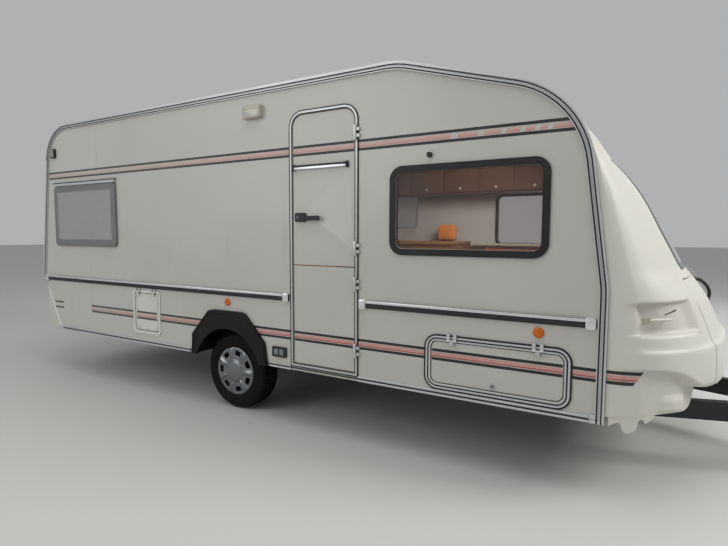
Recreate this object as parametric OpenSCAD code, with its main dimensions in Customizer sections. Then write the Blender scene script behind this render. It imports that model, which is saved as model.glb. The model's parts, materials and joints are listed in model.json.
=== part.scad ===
// Travel caravan: a one-axle touring trailer with a raked nose, a two-leaf door and a side locker.
// Millimetres. X points forward to the coupling, Y to the left, Z up from the ground.
// The modules are drawn with X = 0 at the wheel axle; the last lines shift them to mid length.

/* [Body shell] */
// Overall width over the two side walls
body_w = 2300; // [2240:10:2360]
// Height of the underside of the side walls above the ground
skirt_z = 420; // [410:1:430]
// Height of the flat roof above the ground
roof_z = 2435; // [2400:5:2480]
// Thickness of the sandwich walls, roof and door leaves
wall = 30; // [26:1:34]
// Thickness of the floor sandwich
floor_t = 40; // [30:1:46]
// Axle to the rearmost line of the side walls
rear_reach = 2630; // [2600:10:2700]
// Axle to the front edge of the side walls
front_reach = 2660; // [2650:5:2680]
// Axle to the ridge where the roof begins to fall to the front
ridge_reach = 1460; // [1360:10:1560]
// Radius of the rear top corner
rear_top_r = 350; // [250:10:400]
// Radius of the brow at the front top corner
brow_r = 550; // [450:10:580]

/* [Nose] */
// Reach of the nose moulding ahead of the side walls
nose_depth = 590; // [560:5:620]
// Squareness of the nose in plan
nose_power = 2.3; // [2.2:0.1:2.6]
// Thickness of the nose moulding and of its lid
nose_t = 22; // [16:1:26]
// Half width of the gas locker lid
lid_half = 700; // [660:5:740]
// Height of the top edge of the gas locker lid
lid_top = 1146; // [1130:1:1150]
// Half width of the hole for the front window
front_win_half = 480; // [440:10:520]

/* [Door] */
// Axle to the rear edge of the door frame
door_x = 625; // [600:5:650]
// Width over the door frame
door_w = 560; // [540:5:570]
// Height of the bottom of the door frame
door_z = 450; // [446:1:460]
// Height over the door frame
door_h = 1780; // [1700:10:1800]
// Height where the upper and the lower leaf meet
door_split = 1176; // [1120:2:1180]
// Width of the door frame
door_rim = 24; // [20:1:26]

/* [Windows and flaps] */
// Width of the rubber round the dinette windows
seal_w = 40; // [30:1:46]
// Corner radius of the windows
win_r = 85; // [70:1:100]
// Door frame to the rear edge of the side locker frame
locker_gap = 475; // [460:5:500]
// Front edge of the side walls back to the side locker frame
locker_front = 160; // [140:5:190]
// Axle to the rear edge of the service hatch frame
hatch_x = -1165; // [-1185:5:-1150]
// Width over the service hatch frame
hatch_w = 368; // [340:2:380]

/* [Running gear] */
// Outside diameter of the tyres
tyre_d = 610; // [600:2:620]
// Width of the tyres
tyre_w = 185; // [165:5:195]
// Distance between the middles of the two tyres
track = 1984; // [1960:2:2000]
// Diameter of the wheel rims
rim_d = 368; // [360:1:380]
// Radius of the two wheel spindles
spindle_r = 20; // [16:1:22]
// Tip of the nose to the centre of the towing ball
drawbar_reach = 1090; // [1060:10:1160]
// Radius of the ball socket in the coupling head
ball_r = 25.1; // [25.1:0.1:25.5]
// Centre of the towing ball back to the jockey wheel post
jockey_back = 355; // [345:1:370]
// Diameter of the jockey wheel
jockey_d = 200; // [180:2:210]
// Length of a corner steady from pivot to foot
steady_len = 430; // [400:5:440]

/* [Hidden] */
$fn = 96;
half = body_w / 2;
inner = half - wall;
gap = 6;
floor_top = skirt_z + floor_t;
rail_proud = 12;
rail_w = 45;
rear_tuck = 280;
knee_z = 950;
rear_lean = 190;
brow_back = 135;
brow_z = roof_z - 308;
chin_z = 1120;
ridge_r = 600;
chin_r = 600;
arc_step = 3;
rear_split = roof_z - 395;
far = 9000;
ball_reach = front_reach + nose_depth + drawbar_reach;
jockey_reach = ball_reach - jockey_back;
locker_x = door_x + door_w + locker_gap;
locker_w = front_reach - locker_front - locker_x;
brow_split = brow_z - 190;
bumper_out = 25;
bumper_tuck = 110;
mould_t = 20;
mould_r = 120;
tip_x = ball_reach + 70;
tail_x = -rear_reach - bumper_out;
mid_x = (tip_x + tail_x) / 2;
well_x = 400;
well_y = 845;
well_z = 745;
hinge_off = 14;
pin_r = 3;
knuckle_r = 6;
clear_r = 0.1;
frame_out = 7;
belt_z0 = 915;
belt_z1 = 964;

// Corners of the side wall outline: x, z, corner radius
outline = [
  [-rear_reach + rear_tuck, skirt_z, 0],
  [-rear_reach, knee_z, 30],
  [-rear_reach + rear_lean, roof_z, rear_top_r],
  [ridge_reach, roof_z, ridge_r],
  [front_reach - brow_back, brow_z, brow_r],
  [front_reach, chin_z, chin_r],
  [front_reach, skirt_z, 0]
];

// Windows: centre x, centre z, width, height, on the right side, on the left side
win_cx = 0;
win_cz = 1;
win_w = 2;
win_h = 3;
win_right = 4;
win_left = 5;
pane_rear = door_x + door_w + 230;
pane_front = front_reach - 295;
rubber_windows = [
  [(pane_rear + pane_front) / 2, 1536, pane_front - pane_rear, 543, true, true]
];
hung_windows = [
  [-rear_reach + 778, 1560, 985, 580, true, true],
  [230, 1640, 900, 470, false, true]
];
hung_side = 110;
hung_edge = 50;
rear_win_half = 600;
rear_win_z0 = 1300;
rear_win_z1 = 1880;

// Hinge places: heights on the door, lengths along the flaps, and how far off the fixed feet stand
upper_hinges = [1300, 2040];
lower_hinges = [625, 1065];
door_pin_x = door_x + door_w - door_rim + 7;
door_foot = 20;
locker_z0 = 460;
locker_z1 = 796;
locker_rim = 38;
locker_pin_z = locker_z1 - locker_rim + 7;
locker_hinges = [locker_x + 175, locker_x + locker_w - 175];
locker_foot = 33;
hatch_z0 = 510;
hatch_z1 = 900;
hatch_rim = 28;
hatch_pin_z = hatch_z1 - hatch_rim + 7;
hatch_hinges = [hatch_x + 80, hatch_x + hatch_w - 80];
hatch_foot = 23;
lid_hinge_y = [-160, 160];
lid_foot = 22;

// Pivots of the four corner steadies
steady_y = half - 350;
steady_z = 372;
steady_front_x = front_reach - 470;
steady_rear_x = -rear_reach + 700;

// Nose sections: height, reach ahead of the side walls at mid width as a share of nose_depth
nose_mid = [
  [385, 0.936], [470, 0.961], [540, 0.978], [600, 0.986], [660, 0.986], [724, 0.985], [770, 0.976],
  [806, 0.969], [824, 0.953], [900, 0.898], [1040, 0.793], [1215, 0.586], [1300, 0.534], [1400, 0.464],
  [1500, 0.402], [1600, 0.337], [1700, 0.242], [1780, 0.149], [1815, 0.088], [1850, 0.047], [1895, 0.034],
  [1925, 0.034]
];
// Height of the lip over the skirt and of the skirt's hem, by angle round the plan
lip_line = [[0, 724], [20, 721], [29, 710], [36.6, 667], [43, 612], [50, 596], [90, 588]];
hem_line = [[0, 462], [8, 472], [21, 486], [34, 486], [47, 470], [60, 462], [90, 462]];
nose_half = half - 2;
step_z = 724;
hem_z = 385;
ledge_z = 806;
ledge_h = 18;
ledge_out = 11;
handle_row = 1040;
pocket_z0 = 900;
pocket_z1 = 1045;
pocket_a0 = 14.5;
pocket_a1 = 44;
pocket_d = 42;
skirt_in = 150;
lid_lip = 110;

// Geometry of the outline

function inward(p, q) = let (v = [q[0] - p[0], q[1] - p[1]]) [v[1], -v[0]] / norm(v);
function meet(n1, c1, n2, c2) =
  [c1 * n2[1] - c2 * n1[1], n1[0] * c2 - n2[0] * c1] / (n1[0] * n2[1] - n1[1] * n2[0]);
function flat(p) = [p[0], p[1]];
function before(i) = flat(outline[(i + len(outline) - 1) % len(outline)]);
function after(i) = flat(outline[(i + 1) % len(outline)]);
function in_normal(i) = inward(before(i), flat(outline[i]));
function out_normal(i) = inward(flat(outline[i]), after(i));
function inset_corner(i, d) =
  let (p = flat(outline[i]), n1 = in_normal(i), n2 = out_normal(i))
  meet(n1, n1 * p + d, n2, n2 * p + d);
function round_centre(i, d) =
  let (n1 = in_normal(i), n2 = out_normal(i))
  inset_corner(i, d) + (n1 + n2) * (outline[i][2] - d) / (1 + n1 * n2);

// Points of a rounded corner, from the edge before it to the edge after it
function heading(n) = atan2(-n[1], -n[0]);
function arc_points(i, d) =
  let (
    r = outline[i][2] - d,
    c = round_centre(i, d),
    a2 = heading(out_normal(i)),
    a0 = heading(in_normal(i)),
    a1 = a0 < a2 ? a0 + 360 : a0,
    steps = max(1, ceil((a1 - a2) / arc_step))
  )
  [for (k = [0 : steps]) let (a = a1 + (a2 - a1) * k / steps) c + r * [cos(a), sin(a)]];
function outline_points(d) = [
  for (i = [0 : len(outline) - 1])
    each outline[i][2] > max(d, 0) ? arc_points(i, d) : [inset_corner(i, d)]
];

// Side wall outline moved inwards by d, listed anticlockwise
module outline2d(d = 0) {
  points = outline_points(d);
  polygon([for (k = [len(points) - 1 : -1 : 0]) points[k]]);
}

// Front edge of the side walls at height z
function brow_tangent_z() = (round_centre(4, 0) - out_normal(4) * brow_r)[1];
function front_edge(z) =
  z <= chin_z ? front_reach
  : z <= brow_tangent_z() ? front_reach - brow_back * (z - chin_z) / (brow_z - chin_z)
  : let (c = round_centre(4, 0)) c[0] + sqrt(brow_r * brow_r - (z - c[1]) * (z - c[1]));

// Extrusions across the width, along the length and upwards

module slab(y0, y1) {
  translate([0, y1, 0]) rotate([90, 0, 0]) linear_extrude(y1 - y0) children();
}

module beam(x0, x1) {
  translate([x0, 0, 0]) rotate([90, 0, 90]) linear_extrude(x1 - x0) children();
}

module plate(z0, z1) {
  translate([0, 0, z0]) linear_extrude(z1 - z0) children();
}

module box(a, b) {
  translate(a) cube(b - a);
}

module rounded(a, b, r) {
  translate([a[0] + r, a[1]]) square([b[0] - a[0] - 2 * r, b[1] - a[1]]);
  translate([a[0], a[1] + r]) square([b[0] - a[0], b[1] - a[1] - 2 * r]);
  for (x = [a[0] + r, b[0] - r], y = [a[1] + r, b[1] - r])
    translate([x, y]) circle(r);
}

module ring(a, b, r, w) {
  difference() {
    rounded(a, b, r);
    rounded(a + [w, w], b - [w, w], max(r - w, 4));
  }
}

module both_sides() {
  children();
  mirror([0, 1, 0]) children();
}

function win_low(w, d) = [w[win_cx] - w[win_w] / 2 + d, w[win_cz] - w[win_h] / 2 + d];
function win_high(w, d) = [w[win_cx] + w[win_w] / 2 - d, w[win_cz] + w[win_h] / 2 - d];

// Door frame outline: round top corners and square bottom corners
module door2d(d, z0, z1) {
  r = 110 - d;
  intersection() {
    rounded([door_x + d, door_z - 400], [door_x + door_w - d, door_z + door_h - d], r);
    translate([door_x, z0]) square([door_w, z1 - z0]);
  }
}

module arch2d(d = 0) {
  polygon([
    [-396 + d, skirt_z - 1], [-385 + d, 585], [-197 + d / 2, 786 - d], [-136 + d / 2, 798 - d],
    [158 - d / 2, 798 - d], [197 - d / 2, 786 - d], [384 - d, 585], [408 - d, skirt_z - 1]
  ]);
}

module window_holes(side) {
  for (w = rubber_windows)
    if (w[side]) rounded(win_low(w, 12), win_high(w, 12), win_r - 12);
  for (w = hung_windows)
    if (w[side])
      rounded(win_low(w, hung_edge) + [hung_side - hung_edge, 0],
        win_high(w, hung_edge) - [hung_side - hung_edge, 0], 45);
}

// Body shell

module side_wall_right() {
  color("#e4e2da")
    slab(-half, -inner)
      difference() {
        outline2d();
        window_holes(win_right);
        door2d(door_rim, door_z + door_rim, roof_z);
        rounded([locker_x + locker_rim, locker_z0 + locker_rim],
          [locker_x + locker_w - locker_rim, locker_z1 - locker_rim], 45);
        rounded([hatch_x + hatch_rim, hatch_z0 + hatch_rim],
          [hatch_x + hatch_w - hatch_rim, hatch_z1 - hatch_rim], 20);
        arch2d(25);
      }
}

module side_wall_left() {
  color("#e4e2da")
    slab(inner, half)
      difference() {
        outline2d();
        window_holes(win_left);
        arch2d(25);
      }
}

module skin_band() {
  difference() {
    outline2d(0);
    outline2d(wall);
  }
}

hatch_size = 400;
hatch_place = [-700, 0];
vent_size = 280;
vent_place = [1000, -250];

module roof_panel() {
  color("#e8e6df")
    difference() {
      slab(-inner, inner)
        intersection() {
          skin_band();
          polygon([[-far, rear_split], [0, rear_split], [0, brow_split], [far, brow_split],
            [far, far], [-far, far]]);
        }
      plate(roof_z - 100, roof_z + 100)
        rounded(hatch_place - [hatch_size, hatch_size] / 2, hatch_place + [hatch_size, hatch_size] / 2, 30);
    }
}

module rear_wall() {
  color("#e6e4dc")
    difference() {
      slab(-inner, inner)
        intersection() {
          skin_band();
          translate([-far, knee_z]) square([far, rear_split - 0.3 - knee_z]);
        }
      beam(-far, 0)
        rounded([-rear_win_half, rear_win_z0], [rear_win_half, rear_win_z1], 60);
    }
}

// Profile of the lower rear moulding
module bumper2d() {
  polygon([
    [-rear_reach - 1, knee_z - 1], [tail_x, knee_z - 25], [tail_x, 600], [-rear_reach + bumper_tuck, 428],
    [-rear_reach + rear_tuck - 3, 424]
  ]);
}

module rear_moulding() {
  color("#e9e6dc")
    difference() {
      intersection() {
        slab(-half, half) bumper2d();
        plate(300, 1000) rounded([tail_x, -half], [0, half], mould_r);
      }
      intersection() {
        slab(-half + mould_t, half - mould_t)
          polygon([
            [-rear_reach + mould_t, knee_z - mould_t], [tail_x + mould_t, knee_z - 25 - mould_t],
            [tail_x + mould_t, 608], [-rear_reach + bumper_tuck + 8, 428 + mould_t],
            [-rear_reach + 630, 428 + mould_t], [-rear_reach + 630, knee_z - mould_t]
          ]);
        plate(300, 1000)
          rounded([tail_x + mould_t, -half + mould_t], [0, half - mould_t], mould_r - mould_t);
      }
    }
}

module floor_panel() {
  color("#6e6a60")
    difference() {
      plate(skirt_z, floor_top)
        translate([-rear_reach + rear_tuck, -inner])
          square([front_reach + rear_reach - rear_tuck - 2, 2 * inner]);
      both_sides()
        box([-well_x, well_y, 0], [well_x, half, roof_z]);
    }
}

// Nose moulding: a grid of points, columns by angle round the plan and rows by height

function nose_x(z) = nose_depth * lookup(z, nose_mid);
function ramp(t, a, b) = t <= a ? 0 : t >= b ? 1 : (t - a) / (b - a);
function fold(a) = min(a, 180 - a);
function col_u(a) = sign(cos(a)) * pow(abs(cos(a)), 2 / nose_power);
function col_v(a) = pow(abs(sin(a)), 2 / nose_power);
function col_of(y) = acos(pow(y / nose_half, nose_power / 2));
function flank(a) = 1 - ramp(fold(a), 20, 38);
// The pocket's floor falls gently from the flank before it drops to its full depth
function pocket(a, z) =
  pocket_d * (0.25 * ramp(fold(a), 6, pocket_a0 - 2) + 0.75 * ramp(fold(a), pocket_a0 - 2, pocket_a0))
  * (1 - ramp(fold(a), pocket_a1, pocket_a1 + 4))
  * ramp(z, pocket_z0 - 10, pocket_z0) * (1 - ramp(z, pocket_z1, pocket_z1 + 10));
function tuck(a, z) = skirt_in * pow(col_v(a), 2) * (1 - ramp(z, step_z - 12, step_z));
// The band between lip and ledge stands proud
function band(a, z) =
  z < step_z ? 0 : -ledge_out * ramp(fold(a), 4, 14) * (1 - ramp(z, ledge_z, ledge_z + ledge_h));
function skin_d(a, z) = pocket(a, z) + tuck(a, z) + band(a, z);
// Rows are named by their height on the flank; those under the ledge follow the lip and the hem
function lip(a) = lookup(fold(a), lip_line);
function hem(a) = lookup(fold(a), hem_line);
function row_z(a, z) =
  z >= ledge_z ? z
  : z >= step_z ? lip(a) + (z - step_z) * (ledge_z - lip(a)) / (ledge_z - step_z)
  : hem(a) + (z - hem_z) * (lip(a) - hem(a)) / (step_z - hem_z);
// Beside the walls no point lies behind their front edge
function nose_pt(a, z, d) = [
  front_edge(z) + 0.5 + max(nose_x(z) - d, fold(a) < 13 ? 6 : -100) * col_v(a),
  (nose_half - d * flank(a)) * col_u(a),
  z
];

module nose_shell(cols, rows, skin, back, keep) {
  n = len(cols);
  m = len(rows);
  function id(i, j, s) = s * n * m + j * n + i;
  function kept(i, j) = i >= 0 && j >= 0 && i < n - 1 && j < m - 1 && keep(i, j);
  function quad(a, b, c, d) = [[a, b, c], [a, c, d]];
  polyhedron(
    points = [
      for (s = [0, 1], j = [0 : m - 1], i = [0 : n - 1])
        nose_pt(cols[i], row_z(cols[i], rows[j]), s == 0 ? skin(cols[i], rows[j]) : back(cols[i], rows[j]))
    ],
    faces = [
      for (j = [0 : m - 2], i = [0 : n - 2])
        if (kept(i, j)) each concat(
          quad(id(i, j, 0), id(i, j + 1, 0), id(i + 1, j + 1, 0), id(i + 1, j, 0)),
          quad(id(i, j, 1), id(i + 1, j, 1), id(i + 1, j + 1, 1), id(i, j + 1, 1)),
          kept(i - 1, j) ? [] : quad(id(i, j, 1), id(i, j + 1, 1), id(i, j + 1, 0), id(i, j, 0)),
          kept(i + 1, j) ? []
            : quad(id(i + 1, j, 0), id(i + 1, j + 1, 0), id(i + 1, j + 1, 1), id(i + 1, j, 1)),
          kept(i, j - 1) ? [] : quad(id(i, j, 0), id(i + 1, j, 0), id(i + 1, j, 1), id(i, j, 1)),
          kept(i, j + 1) ? []
            : quad(id(i + 1, j + 1, 0), id(i, j + 1, 0), id(i, j + 1, 1), id(i + 1, j + 1, 1))
        )
    ]
  );
}

// Columns from the left rail over the middle to the right rail, so y falls and the list is turned round
function mirrored(list) =
  concat([for (a = list) 180 - a], [for (k = [len(list) - 1 : -1 : 0]) if (list[k] != 90) list[k]]);
lid_a = col_of(lid_half);
hole_a = col_of(lid_half + 7);
win_a = col_of(front_win_half);
pane_a = col_of(front_win_half + 45);
win_z0 = 1225;
win_z1 = 1815;
mid_cols = [76, col_of(190), 86, 90];
panel_cols = mirrored(concat([0, 2.5, 6, pocket_a0 - 2, pocket_a0, 20, 25, 30, 36, 40, pocket_a1,
  pocket_a1 + 4, hole_a, pane_a, win_a], mid_cols));
skirt_top = 700;
panel_rows = [hem_z, 440, 520, 600, 660, skirt_top, step_z - 12, step_z, 765, ledge_z, ledge_z + ledge_h,
  pocket_z0 - 10, pocket_z0, 970, pocket_z1, pocket_z1 + 10, 1100, lid_top + 7, win_z0 - 30, win_z0, 1300,
  1400, 1500, 1600, 1700, 1760, 1790, win_z1, win_z1 + 30, 1870, 1895, brow_split - 8];
lid_cols = mirrored(concat([lid_a, lid_a + 3, pane_a], mid_cols));
lid_rows = [step_z, 745, 765, 785, ledge_z, ledge_z + ledge_h, 890, 965, handle_row, lid_top];

module front_panel() {
  color("#ebe8de")
    nose_shell(panel_cols, panel_rows,
      function(a, z) skin_d(a, z),
      function(a, z) skin_d(a, z) + nose_t,
      function(i, j)
        let (a = fold((panel_cols[i] + panel_cols[i + 1]) / 2), z = (panel_rows[j] + panel_rows[j + 1]) / 2)
        !(a > hole_a && z > skirt_top && z < lid_top + 7) && !(a > win_a && z > win_z0 && z < win_z1));
}

// The lid's lower edge turns in as a deep lip over the skirt
module gas_lid() {
  color("#ebe8de")
    nose_shell(lid_cols, lid_rows,
      function(a, z) band(a, z),
      function(a, z) band(a, z) + nose_t + lid_lip * (1 - ramp(z, step_z, step_z + 10)),
      function(i, j) true);
}

// Locker behind the lid: bulkhead, shelf over it and floor under it
module gas_locker() {
  color("#b9b2a2")
    union() {
      box([front_reach - 20, -inner + 0.2, floor_top + 0.2], [front_reach - 2, inner - 0.2, lid_top + 22]);
      plate(lid_top + 10, lid_top + 22)
        polygon(concat([[front_reach - 20, -inner + 0.2], [front_reach - 20, inner - 0.2]],
          [for (a = [8 : 8 : 172]) let (p = nose_pt(a, lid_top + 22, nose_t + 14)) [p[0], p[1]]]));
      box([front_reach - 3, -790, floor_top + 0.2], [front_reach + 340, 790, floor_top + 15]);
    }
}

// Panes, seals and rails

module window_seals() {
  color("#1d1d1f")
    both_sides()
      for (w = rubber_windows) {
        slab(-half - rail_proud, -half - 0.2) ring(win_low(w, 0), win_high(w, 0), win_r, seal_w);
        slab(-half - 0.2, -inner)
          difference() {
            rounded(win_low(w, 12.2), win_high(w, 12.2), win_r - 12);
            rounded(win_low(w, seal_w), win_high(w, seal_w), win_r - seal_w);
          }
      }
}

module side_pane(w, hung) {
  if (hung)
    slab(-half - 22, -half - 0.2) rounded(win_low(w, 0), win_high(w, 0), 40);
  else
    slab(-half + 4, -half + 12) rounded(win_low(w, seal_w), win_high(w, seal_w), win_r - seal_w);
}

module window_panes() {
  color("#6d7377")
    union() {
      for (w = rubber_windows) both_sides() side_pane(w, false);
      for (w = hung_windows) {
        if (w[win_right]) side_pane(w, true);
        if (w[win_left]) mirror([0, 1, 0]) side_pane(w, true);
      }
      rear_pane();
    }
}

// The rear wall leans, so its pane and rail lean with it
rear_slope = atan2(rear_lean, roof_z - knee_z);
module on_rear(z) {
  translate([-rear_reach + (z - knee_z) * rear_lean / (roof_z - knee_z), 0, z])
    rotate([0, rear_slope, 0]) children();
}

module rear_pane() {
  on_rear(rear_win_z0 - 50)
    translate([-22, 0, 0]) beam(0, 21.8)
      rounded([-rear_win_half - 60, 0], [rear_win_half + 60, rear_win_z1 - rear_win_z0 + 100], 40);
}

module front_window() {
  cols = mirrored(concat([pane_a, win_a], mid_cols));
  rows = [win_z0 - 30, win_z0, 1300, 1400, 1500, 1600, 1700, 1760, 1790, win_z1, win_z1 + 30];
  color("#6d7377")
    nose_shell(cols, rows,
      function(a, z) -6,
      function(a, z) -0.4,
      function(i, j) true);
}

module window_rails() {
  color("#c9cbcc")
    union() {
      for (w = hung_windows) {
        if (w[win_right]) hung_rail(w);
        if (w[win_left]) mirror([0, 1, 0]) hung_rail(w);
      }
      on_rear(rear_win_z1 + 52)
        translate([-30, 0, 0]) beam(0, 29.8) rounded([-rear_win_half - 60, 0], [rear_win_half + 60, 32], 8);
    }
}

module hung_rail(w) {
  z = w[win_cz] + w[win_h] / 2 + 1;
  beam(w[win_cx] - w[win_w] / 2, w[win_cx] + w[win_w] / 2)
    translate([-half - 28, z]) union() {
      square([27.8, 20]);
      translate([6, 18]) square([21.8, 14]);
      translate([6, 18]) circle(6);
    }
}

// Rails along the edges and the belt line

module edge_rail() {
  slab(-half - rail_proud, -half - 0.2)
    intersection() {
      difference() {
        outline2d(0.4);
        outline2d(18);
      }
      rail_zone();
    }
  slab(-half - rail_proud, -half - 0.2)
    intersection() {
      difference() {
        outline2d(28);
        outline2d(rail_w);
      }
      rail_zone();
    }
  slab(-half - 5, -half - 0.2)
    intersection() {
      difference() {
        outline2d(10);
        outline2d(36);
      }
      rail_zone();
    }
  slab(-half - rail_proud, -inner - 14)
    intersection() {
      difference() {
        outline2d(-6);
        outline2d(-0.2);
      }
      translate([-far, rear_split]) square([far + ridge_reach + 240, 1000]);
    }
  slab(-half - rail_proud, -half - 4)
    intersection() {
      difference() {
        outline2d(-6);
        outline2d(1);
      }
      translate([-far, rear_split]) square([far + ridge_reach + 240, 1000]);
    }
}

module rail_zone() {
  polygon([[-far, knee_z + 4], [0, knee_z + 4], [front_reach - 70, knee_z + 4], [front_reach - 70, skirt_z],
    [far, skirt_z], [far, far], [-far, far]]);
}

module edge_rails() {
  color("#c4c6c8")
    both_sides() edge_rail();
}

skirt_gap = 430;
module lower_rails() {
  slab(-half - 9, -half - 0.2) {
    translate([-rear_reach + rear_tuck + 6, skirt_z]) square([rear_reach - rear_tuck - skirt_gap, 14]);
    translate([-rear_reach + rear_tuck - 8, skirt_z + 24])
      square([rear_reach - rear_tuck + 8 - skirt_gap, 14]);
    translate([skirt_gap, skirt_z]) square([door_x - skirt_gap, 14]);
    translate([skirt_gap, skirt_z + 24]) square([door_x - skirt_gap, 5]);
    translate([door_x + door_w, skirt_z]) square([front_reach - 72 - door_x - door_w, 14]);
    translate([door_x + door_w, skirt_z + 24]) square([front_reach - 72 - door_x - door_w, 14]);
  }
  slab(-half - 4, -half - 0.2) {
    translate([-rear_reach + rear_tuck + 6, skirt_z + 10])
      square([rear_reach - rear_tuck - skirt_gap - 6, 20]);
    translate([skirt_gap, skirt_z + 10]) square([door_x - skirt_gap, 18]);
    translate([door_x + door_w, skirt_z + 10]) square([front_reach - 72 - door_x - door_w, 20]);
  }
}

module skirt_rails() {
  color("#c4c6c8")
    both_sides() lower_rails();
}

// Belt rail profile in the plane across the caravan
module belt2d() {
  translate([-half - 15, belt_z0 + 8]) square([14.8, belt_z1 - belt_z0 - 16]);
  translate([-half - 7, belt_z0]) square([6.8, belt_z1 - belt_z0]);
  for (z = [belt_z0 + 8, belt_z1 - 8])
    translate([-half - 7, z]) circle(8, $fn = 48);
}

module belt_section() {
  difference() {
    belt2d();
    translate([-half - 0.2, 0]) square([60, 2000]);
  }
}

module belt_rails() {
  color("#2a2a2c")
    union() {
      beam(-rear_reach + 50, door_x - 12) belt_section();
      beam(door_x + door_w + 10, front_reach - rail_w - 6) belt_section();
      mirror([0, 1, 0]) beam(-rear_reach + 50, front_reach - rail_w - 6) belt_section();
    }
}

// Wheel arches

module wheel_spats() {
  color("#19191b")
    both_sides()
      difference() {
        slab(-half - 24, -half - 0.2) arch2d();
        translate([0, 0, tyre_d / 2]) rotate([90, 0, 0]) cylinder(r = tyre_d / 2 + 45, h = 2000);
        box([-tyre_d / 2 - 45, -2000, 0], [tyre_d / 2 + 45, 0, tyre_d / 2]);
      }
}

module wheel_boxes() {
  color("#26262a")
    both_sides()
      difference() {
        box([-well_x + 0.5, -inner, skirt_z - 10], [well_x - 0.5, -well_y - 0.5, well_z + 12]);
        box([-well_x + 12, -half, 0], [well_x - 12, -well_y - 12, well_z]);
      }
}

// Door, flaps and their frames

module opening_frames() {
  color("#c6c8ca")
    union() {
      difference() {
        slab(-half - frame_out, -half - 0.2)
          difference() {
            door2d(0, door_z, roof_z);
            door2d(door_rim, door_z + door_rim, roof_z);
          }
        for (z = concat(upper_hinges, lower_hinges))
          box([door_pin_x - 10, -half - 30, z - 36], [door_pin_x + 9, -half - 5, z + 36]);
      }
      slab(-half - frame_out, -half - 0.2)
        ring([locker_x, locker_z0], [locker_x + locker_w, locker_z1], 80, locker_rim);
      slab(-half - frame_out, -half - 0.2)
        ring([hatch_x, hatch_z0], [hatch_x + hatch_w, hatch_z1], 40, hatch_rim);
    }
}

// Hinge halves round an upright pin at the origin, wall towards +y, fixed half towards +x
module hinge_fixed(reach, off) {
  cylinder(r = pin_r, h = 60, center = true);
  for (s = [-1, 1])
    translate([0, 0, s * 20.5]) {
      cylinder(r = knuckle_r, h = 19, center = true);
      translate([0, -3, -9.5]) cube([reach + 10, 6, 19]);
      translate([reach, -3, -9.5]) cube([10, off + 2.8, 19]);
    }
}

module hinge_moving(off) {
  difference() {
    union() {
      cylinder(r = knuckle_r, h = 21, center = true);
      translate([-26, -3, -10.5]) cube([26, 6, 21]);
      translate([-26, -3, -10.5]) cube([10, off + 3.2, 21]);
    }
    cylinder(r = pin_r + clear_r, h = 30, center = true);
  }
}

module at_door(z) {
  translate([door_pin_x, -half - hinge_off, z]) children();
}

module at_top(x, z) {
  translate([x, -half - hinge_off, z]) rotate([0, -90, 0]) children();
}

// The lid's hinge lies along the slope of the nose just above and below its seam
lid_slope = atan2(nose_x(1150) - nose_x(1200) + front_edge(1150) - front_edge(1200), 50);
lid_pin = [
  front_edge(lid_top + 3) + 0.5 + nose_x(lid_top + 3) * col_v(col_of(130)) + hinge_off * cos(lid_slope) + 0.3,
  lid_top + 3 + hinge_off * sin(lid_slope)
];
module at_lid(y) {
  translate([lid_pin[0], y, lid_pin[1]]) rotate([0, -lid_slope, 0]) rotate([0, -90, 90]) children();
}

module hinge_pins() {
  color("#8e9193")
    union() {
      for (z = concat(upper_hinges, lower_hinges)) at_door(z) hinge_fixed(door_foot, hinge_off);
      for (x = locker_hinges) at_top(x, locker_pin_z) hinge_fixed(locker_foot, hinge_off);
      for (x = hatch_hinges) at_top(x, hatch_pin_z) hinge_fixed(hatch_foot, hinge_off);
      for (y = lid_hinge_y) at_lid(y) hinge_fixed(lid_foot, hinge_off - 0.4);
    }
}

leaf_in = door_rim + gap;
lock_x = door_x + 51;
lock_z = 1476;

module door_upper() {
  color("#e4e2da")
    union() {
      slab(-half, -inner) door2d(leaf_in, door_split + 4, door_z + door_h - leaf_in);
      slab(-half - 14, -half + 1)
        rounded([lock_x, lock_z], [lock_x + 90, lock_z + 62], 10);
      slab(-half - 34, -half - 13) rounded([lock_x + 54, lock_z + 8], [lock_x + 84, lock_z + 40], 8);
      slab(-half - 34, -half - 22) rounded([lock_x + 54, lock_z + 8], [lock_x + 217, lock_z + 40], 8);
      slab(-half - 14, -half + 1) rounded([door_x + 40, 1832], [door_x + door_w - 82, 1860], 6);
      for (z = upper_hinges) at_door(z) hinge_moving(hinge_off);
    }
}

module door_lower() {
  color("#e4e2da")
    union() {
      slab(-half, -inner) door2d(leaf_in, door_z + leaf_in, door_split - 4);
      for (z = lower_hinges) at_door(z) hinge_moving(hinge_off);
    }
}

module locker_flap() {
  color("#e4e2da")
    union() {
      slab(-half, -inner)
        rounded([locker_x + locker_rim + gap, locker_z0 + locker_rim + gap],
          [locker_x + locker_w - locker_rim - gap, locker_z1 - locker_rim - gap], 39);
      slab(-half - 8, -half + 1)
        translate([locker_x + locker_w / 2, locker_z0 + locker_rim + 32]) circle(16);
      for (x = locker_hinges) at_top(x, locker_pin_z) hinge_moving(hinge_off);
    }
}

module service_hatch() {
  color("#eceae4")
    union() {
      slab(-half, -inner)
        rounded([hatch_x + hatch_rim + gap, hatch_z0 + hatch_rim + gap],
          [hatch_x + hatch_w - hatch_rim - gap, hatch_z1 - hatch_rim - gap], 14);
      for (x = [hatch_x + 70, hatch_x + hatch_w - 70])
        slab(-half - 6, -half + 1) translate([x, hatch_z0 + 62]) circle(14);
      for (x = hatch_hinges) at_top(x, hatch_pin_z) hinge_moving(hinge_off);
    }
}

module lid_hinges() {
  color("#8e9193")
    union() for (y = lid_hinge_y) at_lid(y) hinge_moving(hinge_off + 1.2);
}

// Lamps and small fittings

marker_x = [5, front_reach - 335];
marker_z = 866;

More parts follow.
